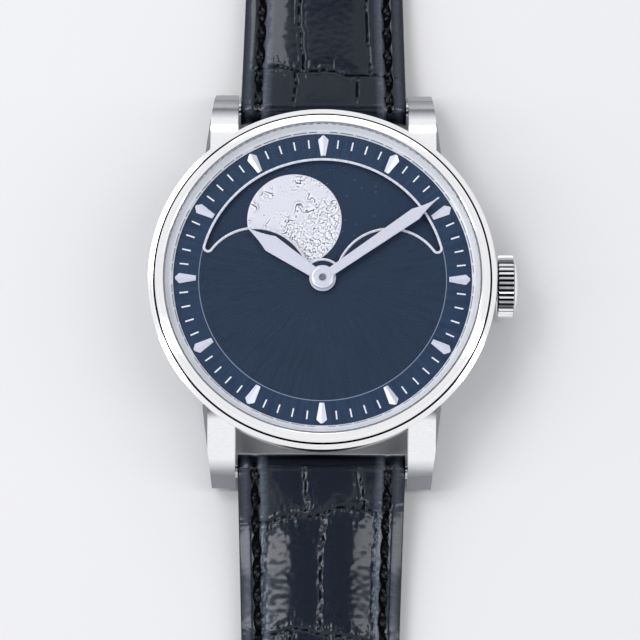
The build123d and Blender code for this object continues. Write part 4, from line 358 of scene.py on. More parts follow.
# Sapphire with an anti-reflective film: nearly invisible, with a weak cool sheen
sapphire, tree = new_finish("coated_sapphire")
clear = add_node(tree, "ShaderNodeBsdfTransparent", sockets={"Color": (0.985, 0.99, 1.0, 1.0)})
sheen = add_node(tree, "ShaderNodeFresnel", sockets={"IOR": 1.2})
smear = add_node(tree, "ShaderNodeTexNoise", sockets={
    "Vector": place_on(tree), "Scale": 1 / (6 * mm)})
weight = reckon(tree, "MULTIPLY", sheen.outputs[0], smear.outputs[0])
gloss = add_node(tree, "ShaderNodeBsdfGlossy", sockets={
    "Color": shade("#E8EEFF"), "Roughness": 0.02})
mixed = add_node(tree, "ShaderNodeMixShader", sockets={
    0: weight, 1: clear.outputs[0], 2: gloss.outputs[0]})
tree.links.new(mixed.outputs[0], tree.nodes["Material Output"].inputs["Surface"])
tree.nodes.remove(tree.nodes[main])

# The strap's plan in mm, which the leather's painted sheen follows too
bar_reach = 22.6
lug_width, end_width = 20.2, 18.0
taper_length = 36.0
border_width = 2.1

# Black alligator leather, dyed through and glazed: a wet-looking shine over fine pores, with a
# painted cool sheen on the two soft ridges beside each stitch line
cool = shade("#C6DCFF")
alligator, tree = new_finish("glazed_alligator_leather", Coat_Weight=0.5, Coat_Roughness=0.12,
                             Specular_IOR_Level=0.2, Specular_Tint=cool, Coat_Tint=cool)
pores = add_node(tree, "ShaderNodeTexVoronoi", {"feature": "DISTANCE_TO_EDGE"}, {
    "Vector": place_on(tree), "Scale": 1 / (0.3 * mm)})
net = ramp(tree, pores.outputs["Distance"], 0.0, 0.1)
under = add_node(tree, "ShaderNodeBump", sockets={"Height": net, "Distance": 0.008 * mm})
wrinkle = add_node(tree, "ShaderNodeTexNoise", sockets={
    "Vector": place_on(tree, scale=(1, 3, 1)), "Scale": 1 / (0.8 * mm), "Detail": 5.0,
    "Roughness": 0.62})
lay(alligator, wrinkle.outputs[0], ("#04060A", "#0A0D14"), (0.12, 0.26), 0.04,
    under=under.outputs[0])
spot = add_node(tree, "ShaderNodeSeparateXYZ", sockets={0: place_on(tree)})
across, along = [reckon(tree, "ABSOLUTE", spot.outputs[number]) for number in (0, 1)]
tapered = reckon(tree, "MINIMUM", along, (bar_reach + taper_length) * mm)
slope = (lug_width - end_width) / 2 / taper_length
spread = reckon(tree, "MULTIPLY_ADD", tapered, slope, across)
inset = ramp(tree, spread, (lug_width / 2 + slope * bar_reach) * mm,
             (lug_width / 2 + slope * bar_reach - border_width * 2) * mm)
# Painted sheen: two pale bands across the border, one each side of the stitch line, mottled by the
# wrinkles
sheen_ridges = add_node(tree, "ShaderNodeValToRGB", sockets={"Fac": inset}, stops=(
    (0.06, "#000000"), (0.2, "#B0B0B0"), (0.36, "#101010"), (0.56, "#101010"),
    (0.68, "#FFFFFF"), (0.9, "#000000")))
painted_sheen = reckon(tree, "MULTIPLY", sheen_ridges.outputs[0], wrinkle.outputs[0])
paint(alligator, painted_sheen, "#73767C")

# Calf lining: matt dark brown, with finer pores
lining, tree = new_finish("calf_lining_leather")
pores = add_node(tree, "ShaderNodeTexVoronoi", {"feature": "DISTANCE_TO_EDGE"}, {
    "Vector": place_on(tree), "Scale": 1 / (0.35 * mm)})
lay(lining, pores.outputs["Distance"], ("#1F1B18", "#352F2B"), (0.7, 0.55), 0.01,
    span=(0.0, 0.2))

# Which CAD nodes wear which finish
for finish, worn in (
        (case_steel, ["case_middle"]),
        (plain["polished_stainless_steel"], ["buckle", "buckle_tongue"]),
        (crown_steel, ["crown"]),
        (bezel_steel, ["bezel"]),
        (ring_satin, ["case_back", "casing_ring", "dial_spacer_ring", "crown_tube"]),
        (flange, ["flange_ring"]),
        (dial_blue, ["dial_plate"]),
        (night_blue, ["moon_disc"]),
        (plain["satin_rhodium_plate"], ["hour_hand", "minute_hand", "hour_markers"]),
        (plain["polished_rhodium_plate"], ["aperture_rim"]),
        (plain["gilt_brass"], [
            "minute_wheel", "hour_wheel", "moon_first_wheel", "moon_second_wheel",
            "centre_wheel", "third_wheel", "fourth_wheel", "balance_wheel", "barrel",
            "barrel_lid"]),
        (plain["hardened_steel"], [
            "cannon_pinion", "escape_wheel", "pallet_fork", "barrel_arbor", "mainspring",
            "click", "winding_pinion", "winding_stem", "spring_bar_12", "spring_bar_6",
            "buckle_bar", "case_back_screws"]),
        (sunray, ["ratchet_wheel", "crown_wheel"]),
        (striped, ["barrel_bridge", "train_bridge", "balance_cock", "pallet_bridge"]),
        (grained, ["main_plate"]),
        (plain["heat_blued_steel"], ["bridge_screws", "hairspring"]),
        (plain["synthetic_ruby"], ["bridge_jewels", "pallet_stones"]),
        (plain["nitrile_rubber"], ["case_back_gasket", "crown_gasket"]),
        (plain["moulded_nylon"], ["crystal_gasket"]),
        (sapphire, ["crystal", "case_back_crystal"])):
    for name in worn:
        slots = nodes[name].data.materials
        for number in range(len(slots)):
            slots[number] = finish
        if not slots:
            slots.append(finish)


# Dial pieces

# Minute ticks: printed bars between the hour markers
tick_width, tick_length, tick_height = 0.18, 1.06, 0.03
tick_reach, tick_level, tick_rounding = 16.79, 8.614, 0.006
ticks = bmesh.new()
for minute in range(60):
    if minute % 5:
        turn = Matrix.Rotation(-math.tau * minute / 60, 4, "Z")
        bar = bmesh.ops.create_cube(ticks, size=1)["verts"]
        bmesh.ops.scale(ticks, vec=(tick_width, tick_length, tick_height), verts=bar)
        bmesh.ops.translate(ticks, vec=(0, tick_reach, tick_level), verts=bar)
        bmesh.ops.rotate(ticks, cent=(0, 0, 0), matrix=turn, verts=bar)
bmesh.ops.bevel(ticks, geom=ticks.edges[:], offset=tick_rounding, segments=2, profile=0.5,
                affect="EDGES", material=-1)
piece("minute_track_ticks", ticks, plain["white_printing_ink"], "watch_head",
      smooth=False)

# Hub of the minute hand: a turned washer with a bevelled edge round the arbor's end, as
# radius and height
hub = bmesh.new()
profile = [(0.42, 9.58), (0.42, 9.64), (0.5, 9.7), (1.02, 9.7), (1.12, 9.64), (1.16, 9.64),
           (1.31, 9.6), (1.33, 9.57)]
rim = [hub.verts.new((reach, 0, level)) for reach, level in profile]
for one, two in zip(rim, rim[1:]):
    hub.edges.new((one, two))
bmesh.ops.spin(hub, geom=hub.verts[:] + hub.edges[:], cent=(0, 0, 0), axis=(0, 0, 1),
               angle=math.tau, steps=72, use_merge=True)
bmesh.ops.remove_doubles(hub, verts=hub.verts, dist=1e-5)
bmesh.ops.recalc_face_normals(hub, faces=hub.faces)
piece("minute_hand_hub_washer", hub, plain["satin_rhodium_plate"], "minute_train",
      angle=20)


# Moons: two struck silver medals, each with smooth plains, scarps and rubble drawn at random

moon_squares = 205
moon_radius = 5.7
moon_floor, moon_face = 7.95, 8.07
relief_low, relief_high = 7.98, 8.17
moon_reach = 8.15
moon_bearings = (115, 295)


# Adds ring craters to a height field: a raised rim round a sunk bowl.
def dig_craters(height, east, north, draw, places, low, high):
    for spot_x, spot_y in places:
        size = low + (high - low) * draw.random() ** 2
        reach = np.hypot(east - spot_x, north - spot_y) / size
        bowl = np.where(reach < 1, (reach**2 - 1) * 0.5, 0.0)
        lip = 0.6 * np.exp(-((reach - 1.0) / 0.2) ** 2)
        height += 0.075 * size**0.6 * (bowl + lip)


# The mean of a square field over a window of a number of steps each way.
def blurred(field, steps):
    window = np.ones(2 * steps + 1) / (2 * steps + 1)
    for axis in (0, 1):
        field = np.apply_along_axis(
            lambda line: np.convolve(np.pad(line, steps, mode="edge"), window, mode="valid"),
            axis, field)
    return field


# One medal: its relief over a round grid, with a skirt down to the disc. A float layer says how
# far each point stands over what lies round it; painted shade darkens the hollows by it and
# painted highlight lightens the raised points.
def moon_medal(mesh, place, seed, relief_shading):
    draw = random.Random(seed)
    made = bmesh.ops.create_grid(mesh, x_segments=moon_squares, y_segments=moon_squares,
                                 size=1)["verts"]
    places = np.array([vert.co for vert in made])
    side_x, side_y = places[:, 0], places[:, 1]
    east = side_x * np.sqrt(1 - side_y**2 / 2) * moon_radius
    north = side_y * np.sqrt(1 - side_x**2 / 2) * moon_radius
    height = np.zeros(len(made))
    for number in range(len(made)):
        spot = Vector((east[number], north[number], seed))
        broad = noise.noise(spot * 0.4)
        # Highlands lie towards the lower right and along the top edge
        lean = (0.24 * east[number] - 0.3 * north[number] - 0.25
                + 0.9 * max(north[number] - 3.2, 0) + 1.5 * broad)
        land = 1 / (1 + math.exp(-lean * 5))
        warp = Vector((noise.noise(spot * 0.9), noise.noise(spot * 0.9 + Vector((9, 4, 0))), 0))
        crook = Vector((noise.noise(spot * 2.4 + Vector((2, 6, 0))),
                        noise.noise(spot * 2.4 + Vector((5, 1, 0))), 0))
        rubble = noise.fractal((spot + warp * 0.3) * 2.0, 0.75, 2.2, 4)
        near, far = noise.voronoi((spot + crook * 0.35) * 1.25)[0][:2]
        cracks = math.exp(-(far - near) / 0.09)
        line = noise.noise(spot * 0.36 + warp * 0.3 + crook * 0.16 + Vector((3, 8, 0)))
        where = noise.noise(spot * 0.8 + Vector((1, 5, 0)))
        scarp = math.tanh(line / 0.016) * math.exp(-(line / 0.08) ** 2) * max(where + 0.24, 0)
        height[number] = (0.012 * land + (0.0015 + 0.036 * land) * rubble
                          - 0.06 * land * cracks + 0.15 * (1 - 0.4 * land) * scarp)
    rocky = [(draw.uniform(0.2, 4.6), draw.uniform(-4.6, 1.2)) for number in range(24)]
    dig_craters(height, east, north, draw, rocky, 0.12, 0.3)
    level_ground = [(draw.uniform(-4.4, 3.5), draw.uniform(-1.5, 4.6)) for number in range(9)]
    dig_craters(height, east, north, draw, level_ground, 0.13, 0.24)
    count = round(math.sqrt(len(made)))
    field = height.reshape(count, count)
    sunk = (field - blurred(field, 3)).reshape(-1)
    reach = np.hypot(east, north)
    edge = np.clip((moon_radius - reach) / 0.3, 0, 1)
    level = np.clip(moon_face + height * edge - 0.05 * (1 - edge) ** 2, relief_low,
                    relief_high)
    for vert, spot_x, spot_y, up, low in zip(made, east, north, level, sunk * edge):
        vert.co = (spot_x, spot_y, up)
        vert[relief_shading] = min(max(0.65 + low / 0.034, 0), 1)
    rim_edges = [edge for edge in mesh.edges if edge.is_boundary
                 and edge.verts[0].co.z > moon_floor + 0.01]
    skirt = bmesh.ops.extrude_edge_only(mesh, edges=rim_edges)["geom"]
    for vert in skirt:
        if isinstance(vert, bmesh.types.BMVert):
            vert.co.z = moon_floor
    fresh = [vert for vert in mesh.verts if not vert.tag]
    for vert in fresh:
        vert.tag = True
    bmesh.ops.translate(mesh, vec=(place[0], place[1], 0), verts=fresh)


medals = bmesh.new()
relief_shading_layer = medals.verts.layers.float.new("relief_shading")
for bearing, seed in zip(moon_bearings, (5.0, 9.0)):
    place = [moon_reach * math.cos(math.radians(bearing)),
             moon_reach * math.sin(math.radians(bearing))]
    moon_medal(medals, place, seed, relief_shading_layer)
loose = [edge for edge in medals.edges if edge.is_boundary]
bmesh.ops.holes_fill(medals, edges=loose, sides=0)
bmesh.ops.recalc_face_normals(medals, faces=medals.faces)
piece("moon_medals", medals, moon_silver, "moon_disc_body", angle=60,
      replaces=["moons"])


# Strap

bar_height = 3.0
bar_thickness = 4.4
border_rise = 0.12
lining_share = 0.3
# Along each half: the share of its length, the thickness there as a share of the thickness
# at the bar, and the edge's share of that
buckle_profile = [
    (0.0, 1.0, 0.92), (0.07, 0.97, 0.74), (0.15, 0.92, 0.68), (0.28, 0.83, 0.66),
    (0.44, 0.76, 0.68), (0.54, 0.7, 0.72), (0.91, 0.61, 0.84), (1.0, 0.59, 0.9),
]
tail_profile = [
    (0.0, 1.0, 0.92), (0.045, 0.97, 0.74), (0.1, 0.92, 0.68), (0.18, 0.83, 0.66),
    (0.3, 0.74, 0.68), (0.45, 0.64, 0.76), (0.7, 0.6, 0.84), (1.0, 0.57, 0.86),
]
buckle_lows = (0.8, 0.8 / 3, 0, 0, 0, 1.1, 1.1, 0)
tail_lows = (0.8, 0.8 / 3, 0, 0, 0, 0, 0, 0)

# Relief of the leather: how wide and how deep each form is
edge_roll, edge_drop = 1.5, 0.5
seam_width, seam_depth = 0.34, 0.34
swell_width, swell_depth = 0.75, 0.16
crease_depth, lip_height = 0.2, 0.07
fold_reach, fold_depth = 1.6, 0.2
grain_depth = 0.018


# A smooth bump that is one where the distance is nothing, and fades over a width.
def bell(distance, width):
    return math.exp(-(distance / width) ** 2)


# Smooth noise at a place given as three numbers.
def noise_at(*spot):
    return noise.noise(Vector(spot))


# One strap half's size and form, worked out along it in mm from its spring bar.
class Half:
    def __init__(self, length, profile, lows, rows, columns, tip, seed, way):
        self.length, self.rows, self.columns = length, rows, columns
        self.tip, self.seed, self.way = tip, seed, way
        ways = [row[0] * length for row in profile]
        steps = np.arange(0, length + 0.01, 0.25)
        soft = np.ones(13) / 13

        def smooth(values):
            line = np.interp(steps, ways, values)
            return np.convolve(np.pad(line, 6, mode="edge"), soft, mode="valid")

        self.steps = steps
        self.thick = smooth([row[1] * bar_thickness for row in profile])
        self.edge = smooth([row[1] * row[2] * bar_thickness for row in profile])
        self.low = smooth(lows)
        if tip:
            self.fit_tip((end_width / 2, length - tip),
                         (end_width * 0.3, length - tip * 0.3), (0, length))

    # The tip's arcs run from the straight sides through a shoulder to the point
    def fit_tip(self, one, two, three):
        (ax, ay), (bx, by), (cx, cy) = one, two, three
        d = 2 * (ax * (by - cy) + bx * (cy - ay) + cx * (ay - by))
        squares = [x * x + y * y for x, y in (one, two, three)]
        self.arc_x = (squares[0] * (by - cy) + squares[1] * (cy - ay) + squares[2] * (ay - by)) / d
        self.arc_y = (squares[0] * (cx - bx) + squares[1] * (ax - cx) + squares[2] * (bx - ax)) / d
        self.arc_radius = math.hypot(ax - self.arc_x, ay - self.arc_y)

    # Half of the strap's width at a distance from its spring bar
    def half_width(self, reach):
        taper = min(max(reach, 0) / taper_length, 1)
        straight = (lug_width + (end_width - lug_width) * taper) / 2
        if not self.tip or reach <= self.length - self.tip:
            return straight
        inside = max(self.arc_radius**2 - (reach - self.arc_y) ** 2, 0)
        return max(self.arc_x + math.sqrt(inside), 0.02)

    # How far a point lies inside the outline
    def inset(self, across, reach):
        if self.tip and reach > self.length - self.tip:
            return self.arc_radius - math.hypot(abs(across) - self.arc_x, reach - self.arc_y)
        return self.half_width(reach) - abs(across)

    # The height of the underside, and the thickness in the middle and at the edge
    def levels(self, reach):
        at = min(max(reach, 0), self.length)
        low, thick, edge = (float(np.interp(at, self.steps, line))
                            for line in (self.low, self.thick, self.edge))
        if reach < 0:
            rise = math.sqrt(max((bar_thickness / 2) ** 2 - reach**2, 0.0))
            return bar_height - rise, 2 * rise, 2 * rise * 0.95
        past = reach - self.length
        if not self.tip and past > -0.01:
            radius = thick / 2
            rise = math.sqrt(max(radius**2 - max(past, 0) ** 2, 0.0))
            return low + radius - rise, 2 * rise, 2 * rise * 0.92
        return low, thick, edge

    # How far a point lies from the nearest crease across the strap, and from one along it
    def scales(self, across, reach):
        wander = noise_at(across * 0.22, reach * 0.16, self.seed) * 1.1
        jitter = noise_at(across * 0.9, reach * 0.9, self.seed + 4) * 0.25
        number = 0
        gap = 99.0
        for index, (base, slope) in enumerate(self.rows):
            border = base + slope * across + wander + jitter
            gap = min(gap, abs(reach - border))
            if reach > border:
                number = index + 1
        side = 99.0
        drift = noise_at(reach * 0.12, number * 3.7, self.seed + 8) * 0.8
        for column in self.columns[number % len(self.columns)]:
            side = min(side, abs(across - column - drift - jitter))
        return gap, side

    # The height of the outer leather, with its crown, seam, creases and folds
    def top(self, across, reach):
        low, thick, edge = self.levels(reach)
        inset = self.inset(across, reach)
        inner = max(self.half_width(reach) - border_width, 0.5)
        rise = min(border_rise, thick - edge)
        crown = 1 - (1 - min(max((inset - border_width) / inner, 0), 1)) ** 3.5
        level = low + edge + rise * min(inset / border_width, 1)
        level += (thick - edge - rise) * crown
        # Edges turned over
        rolled = max(edge_roll - inset, 0) / edge_roll
        level -= edge_drop * rolled**2 * min(thick / 3, 1)
        # The seam pulls the leather down along the stitch line
        level -= seam_depth * bell(inset - border_width, seam_width)
        if reach > -0.5 and (self.tip or reach < self.length):
            gap, side = self.scales(across, reach)
            ease = min(max((inset - 0.5) / 1.6, 0.25), 1.0)
            fade = min((reach + 0.5) / 1.5, 1.0)
            # The scale falls away towards its creases, each of which lies between two rolls
            swell = -swell_depth * math.exp(-min(gap, side) / swell_width)
            cut = crease_depth * (bell(side, 0.12) + bell(gap, 0.15))
            lips = lip_height * (bell(side - 0.34, 0.13) + bell(gap - 0.38, 0.15))
            fold = abs(noise_at(across * 2.3, reach * 0.5, self.seed + 2))
            fold += 0.6 * abs(noise_at(across * 0.7, reach * 2.4, self.seed + 3))
            fold *= fold_depth * bell(gap, fold_reach)
            fine = grain_depth * noise_at(across * 1.3, reach * 1.7, self.seed + 6)
            level += ease * fade * (swell - cut + lips - fold + fine)
        return level

    # A point of the strap in the watch's frame
    def place(self, across, reach, level):
        return (self.way * across, self.way * (bar_reach + reach), level)


# A block whose edges along each axis are cut a number of times.
def cut_block(cuts):
    mesh = bmesh.new()
    bmesh.ops.create_cube(mesh, size=2)
    for axis, count in enumerate(cuts):
        along = [edge for edge in mesh.edges
                 if abs(edge.verts[0].co[axis] - edge.verts[1].co[axis]) > 1e-6]
        if count:
            bmesh.ops.subdivide_edges(mesh, edges=along, cuts=count, use_grid_fill=True)
    return mesh


# Cuts shapes out of a piece, and leaves the mesh clean.
def carve(target, cutter_mesh):
    bmesh.ops.scale(cutter_mesh, vec=(mm, mm, mm), verts=cutter_mesh.verts)
    bmesh.ops.recalc_face_normals(cutter_mesh, faces=cutter_mesh.faces)
    data = bpy.data.meshes.new("cutter")
    cutter_mesh.to_mesh(data)
    cutter_mesh.free()
    cutter = bpy.data.objects.new("cutter", data)
    bpy.context.scene.collection.objects.link(cutter)
    cut = target.modifiers.new("cut", "BOOLEAN")
    cut.operation, cut.solver, cut.object = "DIFFERENCE", "EXACT", cutter
    fresh = bpy.data.meshes.new_from_object(
        target.evaluated_get(bpy.context.evaluated_depsgraph_get()))
    target.modifiers.clear()
    old = target.data
    target.data = fresh
    bpy.data.meshes.remove(old)
    bpy.data.objects.remove(cutter)
    bpy.data.meshes.remove(data)


# The leather of one half, or its lining, as a closed body over a share of the thickness.
def strap_layer(half, low_share, high_share, cuts, inset, relief):
    mesh = cut_block(cuts)
    start = -bar_thickness / 2 + 0.01
    stop = half.length - 0.01 if half.tip else half.length + half.levels(half.length)[1] / 2 - 0.01
    for vert in mesh.verts:
        along, up = (vert.co.y + 1) / 2, (vert.co.z + 1) / 2
        # Half of the cuts lie in the third next to the case, where the creases are deepest
        along = along * 0.66 if along < 0.5 else 0.33 + (along - 0.5) * 1.34
        reach = start + inset + (stop - start - 2 * inset) * along
        low, thick, edge = half.levels(reach)
        across = vert.co.x * max(half.half_width(reach) - inset, 0.02)
        base = low + thick * low_share
        if relief:
            roof = half.top(across, reach)
            side = min(max(half.inset(across, reach) / 0.25, 0), 1)
            base += 0.12 * (1 - side)
        else:
            roof = low + edge * high_share
        roof = max(roof, base + 0.02)
        vert.co = half.place(across, reach, base + (roof - base) * up)
    return mesh


# Points along a half's stitch line, one pitch apart, each with its heading.
def stitch_line(half, start, stop, pitch):
    line = []
    reach = start
    while reach < (half.length - half.tip if half.tip else stop):
        line.append((half.half_width(reach) - border_width, reach))
        reach += 0.1
    if half.tip:
        radius = half.arc_radius - border_width
        first = math.atan2(half.length - half.tip - half.arc_y, end_width / 2 - half.arc_x)
        turn = first
        while half.arc_x + radius * math.cos(turn) > 0:
            line.append((half.arc_x + radius * math.cos(turn),
                         half.arc_y + radius * math.sin(turn)))
            turn += 0.1 / radius
    found = []
    walked = pitch / 2
    for (ax, ay), (bx, by) in zip(line, line[1:]):
        walked += math.hypot(bx - ax, by - ay)
        if walked >= pitch:
            walked -= pitch
            found.append(((bx, by), math.atan2(by - ay, bx - ax)))
    return found


# A spot on the strap moved along a heading and off to its side.
def shifted(spot, heading, along, off):
    return (spot[0] + along * math.cos(heading) - off * math.sin(heading),
            spot[1] + along * math.sin(heading) + off * math.cos(heading))


# One stitch: two strands twisted round each other, whose ends dive into the leather.
def lay_stitch(mesh, half, side, spot, heading, length, thick):
    strands, rings, sides = 2, 9, 6
    for strand in range(strands):
        loop = bmesh.ops.create_circle(mesh, cap_ends=True, segments=sides, radius=1)["verts"]
        faces = list({face for vert in loop for face in vert.link_faces})
        ring_list = [loop]
        for ring in range(rings - 1):
            grown = bmesh.ops.extrude_face_region(mesh, geom=faces)
            fresh = [item for item in grown["geom"] if isinstance(item, bmesh.types.BMVert)]
            faces = [item for item in grown["geom"] if isinstance(item, bmesh.types.BMFace)]
            order = []
            for vert in ring_list[-1]:
                near = [edge.other_vert(vert) for edge in vert.link_edges
                        if edge.other_vert(vert) in fresh]
                order.append(near[0])
            ring_list.append(order)
        for ring, verts in enumerate(ring_list):
            way = ring / (rings - 1) - 0.5
            twist = strand * math.pi + way * math.tau * 1.3
            bow = math.sqrt(max(1 - (way * 2) ** 2, 0.0))
            swell = 0.34 + 0.16 * bow
            for number, vert in enumerate(verts):
                turn = math.tau * number / sides
                off = thick * (0.24 * math.cos(twist) + swell * 0.62 * math.cos(turn))
                up = thick * (0.2 * math.sin(twist) + swell * 0.62 * math.sin(turn))
                across, reach = shifted(spot, heading, way * length, off)
                ground = half.top(spot[0], spot[1])
                level = ground - 0.5 * thick + 0.72 * thick * bow + up
                vert.co = half.place(side * across, reach, level)


# The slot that the needle leaves round a stitch, drawn as painted shade: a thin dark disc that
# follows the leather.
def lay_slot_shade(mesh, half, side, spot, heading, half_length, half_wide):
    ring = bmesh.ops.create_circle(mesh, cap_ends=True, segments=20, radius=1)["verts"]
    grown = bmesh.ops.extrude_face_region(mesh, geom=list({
        face for vert in ring for face in vert.link_faces}))["geom"]
    roof = [item for item in grown if isinstance(item, bmesh.types.BMVert)]
    for verts, lift in ((ring, -0.12), (roof, 0.012)):
        for vert in verts:
            across, reach = shifted(spot, heading, vert.co.x * half_length,
                                    vert.co.y * half_wide)
            vert.co = half.place(side * across, reach, half.top(side * across, reach) + lift)


# The creases: each one across has its distance from the bar and its slope, and the columns
# say where those along the strap cross the rows of scales, row by row
tail_rows = [(5.2, 0.12), (20.0, -0.1), (31.5, 0.08), (42.0, -0.06), (51.5, 0.1), (60.5, -0.08),
             (69.0, 0.06), (77.0, -0.05), (84.5, 0.06), (91.5, -0.06), (98.0, 0.05),
             (104.0, -0.04), (109.5, 0.05)]
tail_columns = [(-4.7, 2.1), (-6.2, 0.1, 6.8), (-2.9, 3.4), (-5.6, 0.4, 5.9)]
buckle_rows = [(4.2, -0.12), (17.0, 0.1), (28.5, -0.08), (39.0, 0.06), (48.5, -0.08), (57.5, 0.06),
               (66.0, -0.05)]
buckle_columns = [(-3.7, 3.9), (-2.9, 5.3), (-5.9, 0.2, 6.1), (-3.2, 3.0)]
tail_length, buckle_length, tip_length = 115.0, 75.0, 10.0
hole_count, hole_pitch, hole_radius, first_hole = 7, 6.5, 0.85, 28.0
tongue_slot_radius, tongue_slot_length, tongue_slot_place = 1.3, 6, 2.7
cutter_depth = 12
stitch_pitch, stitch_length, stitch_thickness, stitch_lean = 2.9, 2.75, 0.92, 0.07
first_stitch, last_gap = -0.9, 5.5
needle_slot_size = (1.6, 0.6)
tail_half = Half(tail_length, tail_profile, tail_lows, tail_rows, tail_columns, tip_length,
                 3.0, -1)
buckle_half = Half(buckle_length, buckle_profile, buckle_lows, buckle_rows, buckle_columns,
                   0.0, 11.0, 1)

# The holes' distances from the strap's end, their radius, and how far each is drawn out
holes = ([first_hole + number * hole_pitch for number in range(hole_count)], hole_radius, 0)
tongue_slot = ([tongue_slot_place], tongue_slot_radius, tongue_slot_length)
for half, side_name, body, node, count, (ends, radius, stretch) in (
        (buckle_half, "buckle", "strap_12_body", "strap_buckle_side", 295, tongue_slot),
        (tail_half, "tail", "strap_6_body", "strap_tail_side", 355, holes)):
    cuts = ((120, count, 4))
    upper = piece(f"strap_{side_name}_upper", strap_layer(
        half, lining_share, 1.0, cuts, 0.0, True), alligator, body, angle=70,
        replaces=[node])
    under = piece(f"strap_{side_name}_lining", strap_layer(
        half, 0.0, lining_share + 0.04, (20, count // 3, 3), 0.18, False), lining, body,
        angle=50)
    for layer in (upper, under):
        cutter = bmesh.new()
        for back in ends:
            rod = bmesh.ops.create_cone(cutter, cap_ends=True, segments=24, radius1=radius,
                                        radius2=radius, depth=cutter_depth)["verts"]
            for vert in rod:
                if vert.co.y > 0:
                    vert.co.y += stretch
            bmesh.ops.translate(cutter, vec=half.place(0, half.length - back, 2), verts=rod)
        carve(layer, cutter)
    sewing, slots = bmesh.new(), bmesh.new()
    for spot, heading in stitch_line(half, first_stitch, half.length - last_gap, stitch_pitch):
        for side in (-1, 1):
            lay_stitch(sewing, half, side, spot, heading + stitch_lean, stitch_length,
                       stitch_thickness)
            # Painted shade: a dark disc round each stitch
            lay_slot_shade(slots, half, side, spot, heading + stitch_lean, *needle_slot_size)
    for part, mesh, finish in (("stitches", sewing, plain["waxed_linen_thread"]),
                               ("needle_slot_shade", slots, plain["needle_slot_painted_shade"])):
        bmesh.ops.recalc_face_normals(mesh, faces=mesh.faces)
        piece(f"strap_{side_name}_{part}", mesh, finish, body)


# A keeper: a folded leather loop with turned edges, over the CAD loop's own path.
def keeper(name, node, body):
    low, high = [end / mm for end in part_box(node)]
    wall = 1.0
    mesh = bmesh.new()
    bmesh.ops.create_circle(mesh, cap_ends=False, segments=96, radius=1)
    half_x, half_z = (high.x - low.x - wall) / 2, (high.z - low.z - wall) / 2
    corner = 0.8
    for vert in mesh.verts:
        turn = math.atan2(vert.co.y, vert.co.x)
        reach = 1 / max(abs(math.cos(turn)) / half_x, abs(math.sin(turn)) / half_z)
        spot = Vector((reach * math.cos(turn), reach * math.sin(turn)))
        over = Vector((max(abs(spot.x) - (half_x - corner), 0),
                       max(abs(spot.y) - (half_z - corner), 0)))
        if over.length > corner:
            over *= corner / over.length
        inner = Vector((min(abs(spot.x), half_x - corner), min(abs(spot.y), half_z - corner)))
        vert.co = (math.copysign(inner.x + over.x, spot.x), low.y + 0.15,
                   math.copysign(inner.y + over.y, spot.y) + (low.z + high.z) / 2)
    rows = 10
    edges = mesh.edges[:]
    for row in range(rows):
        grown = bmesh.ops.extrude_edge_only(mesh, edges=edges)["geom"]
        edges = [item for item in grown if isinstance(item, bmesh.types.BMEdge)]
        bmesh.ops.translate(mesh, vec=(0, (high.y - low.y - 0.3) / rows, 0), verts=[
            item for item in grown if isinstance(item, bmesh.types.BMVert)])
    bmesh.ops.recalc_face_normals(mesh, faces=mesh.faces)
    bmesh.ops.solidify(mesh, geom=mesh.faces[:], thickness=0.1)
    piece(name, mesh, alligator, body, angle=60, replaces=[node])


keeper("keeper_loop_fixed", "fixed_keeper", "strap_12_body")
keeper("keeper_loop_free", "free_keeper", "keeper_body")


# Stage

floor_finish, tree = new_finish("pale_floor", Roughness=0.85, Base_Color=shade("#E9E9EB"))
glow = add_node(tree, "ShaderNodeEmission", sockets={"Color": shade("#F4F4F6"), "Strength": 1.0})
mirrored = reckon(tree, "MULTIPLY", passed_on(tree), 0.8)
blend = add_node(tree, "ShaderNodeMixShader", sockets={
    0: mirrored, 1: tree.nodes[main].outputs[0], 2: glow.outputs[0]})
tree.links.new(blend.outputs[0], tree.nodes["Material Output"].inputs["Surface"])
ground = bmesh.new()
bmesh.ops.create_grid(ground, x_segments=1, y_segments=1, size=3)
ground_data = bpy.data.meshes.new("floor")
ground.to_mesh(ground_data)
ground.free()
floor = bpy.data.objects.new("floor", ground_data)
floor.location = (0, 0, -0.00003)
floor.data.materials.append(floor_finish)
bpy.context.scene.collection.objects.link(floor)


# A rectangular lamp that faces a target, unseen by the camera.
def softbox(name, place, target, width, height, power):
    lamp = bpy.data.lights.new(name, "AREA")
    lamp.shape, lamp.size, lamp.size_y, lamp.energy = "RECTANGLE", width, height, power
    made = bpy.data.objects.new(name, lamp)
    made.location = place
    made.rotation_euler = (Vector(target) - Vector(place)).to_track_quat("-Z", "Y").to_euler()
    made.visible_camera = False
    bpy.context.scene.collection.objects.link(made)


softbox("key_softbox", (-0.35, 0.3, 0.62), (0, 0, 0), 0.3, 0.3, 1.3)
softbox("left_strip", (-0.5, -0.05, 0.5), (0, -0.03, 0), 0.1, 0.9, 2.2)
softbox("right_strip", (0.5, -0.05, 0.5), (0, -0.03, 0), 0.1, 0.9, 1.6)
softbox("back_strip", (0.05, 0.7, 0.4), (0, 0, 0), 0.8, 0.1, 0.5)

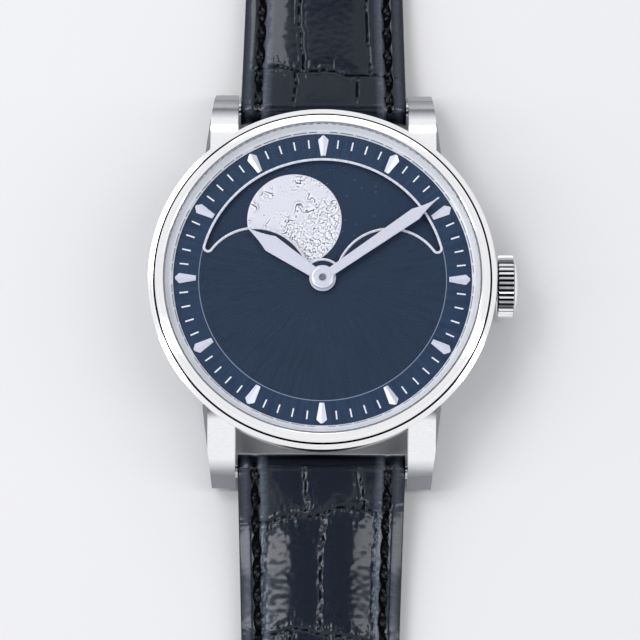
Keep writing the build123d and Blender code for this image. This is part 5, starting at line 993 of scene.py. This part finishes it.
# The room is an even pale grey as light. Polished metal mirrors it white all round, darker
# at the horizon, which draws the edges, and darker behind the camera, where flat faces look
world = bpy.data.worlds.new("studio")
world.use_nodes = True
tree = world.node_tree
lit = tree.nodes["Background"]
lit.inputs["Color"].default_value = shade("#F2F3F6")
lit.inputs["Strength"].default_value = 0.48
aim_at = add_node(tree, "ShaderNodeTexCoord")
rise = add_node(tree, "ShaderNodeSeparateXYZ", sockets={0: aim_at.outputs["Generated"]})
dome = add_node(tree, "ShaderNodeValToRGB", sockets={"Fac": rise.outputs[2]}, stops=(
    (0.0, "#46484E"), (0.1, "#A0A2A7"), (0.3, "#FFFFFF")))
towards = add_node(tree, "ShaderNodeVectorMath", {"operation": "DOT_PRODUCT"}, {
    0: aim_at.outputs["Generated"], 1: (0, 0.09, 0.996)})
flag = ramp(tree, towards.outputs["Value"], 0.925, 0.972)
flagged = add_node(tree, "ShaderNodeMix", {"data_type": "RGBA"}, {
    0: flag, 6: dome.outputs[0], 7: shade("#6A6C72")})
seen = add_node(tree, "ShaderNodeBackground", sockets={"Color": flagged.outputs[2]})
path = add_node(tree, "ShaderNodeLightPath")
either = reckon(tree, "MAXIMUM", passed_on(tree), path.outputs["Is Camera Ray"])
blend = add_node(tree, "ShaderNodeMixShader", sockets={
    0: either, 1: lit.outputs[0], 2: seen.outputs[0]})
tree.links.new(blend.outputs[0], tree.nodes["World Output"].inputs["Surface"])
bpy.context.scene.world = world
bpy.context.scene.view_settings.view_transform = "Standard"

# The camera stands over the dial, tipped towards 6 o'clock
distance = 0.6
lens = bpy.data.cameras.new("camera")
lens.lens, lens.sensor_width = 280.8, 36.0
lens.clip_start, lens.clip_end = 0.01, 10.0
camera = bpy.data.objects.new("camera", lens)
aim = Vector((-0.28, -5.06, 8.6)) * mm
tilt = math.radians(12.3)
back = Vector((0, -math.sin(tilt), math.cos(tilt)))
camera.location = aim + back * distance
roll = Matrix.Rotation(math.radians(0.35), 3, back)
upright = (-back).to_track_quat("-Z", "Y").to_matrix()
camera.rotation_euler = (roll @ upright).to_euler()
bpy.context.scene.collection.objects.link(camera)
bpy.context.scene.camera = camera
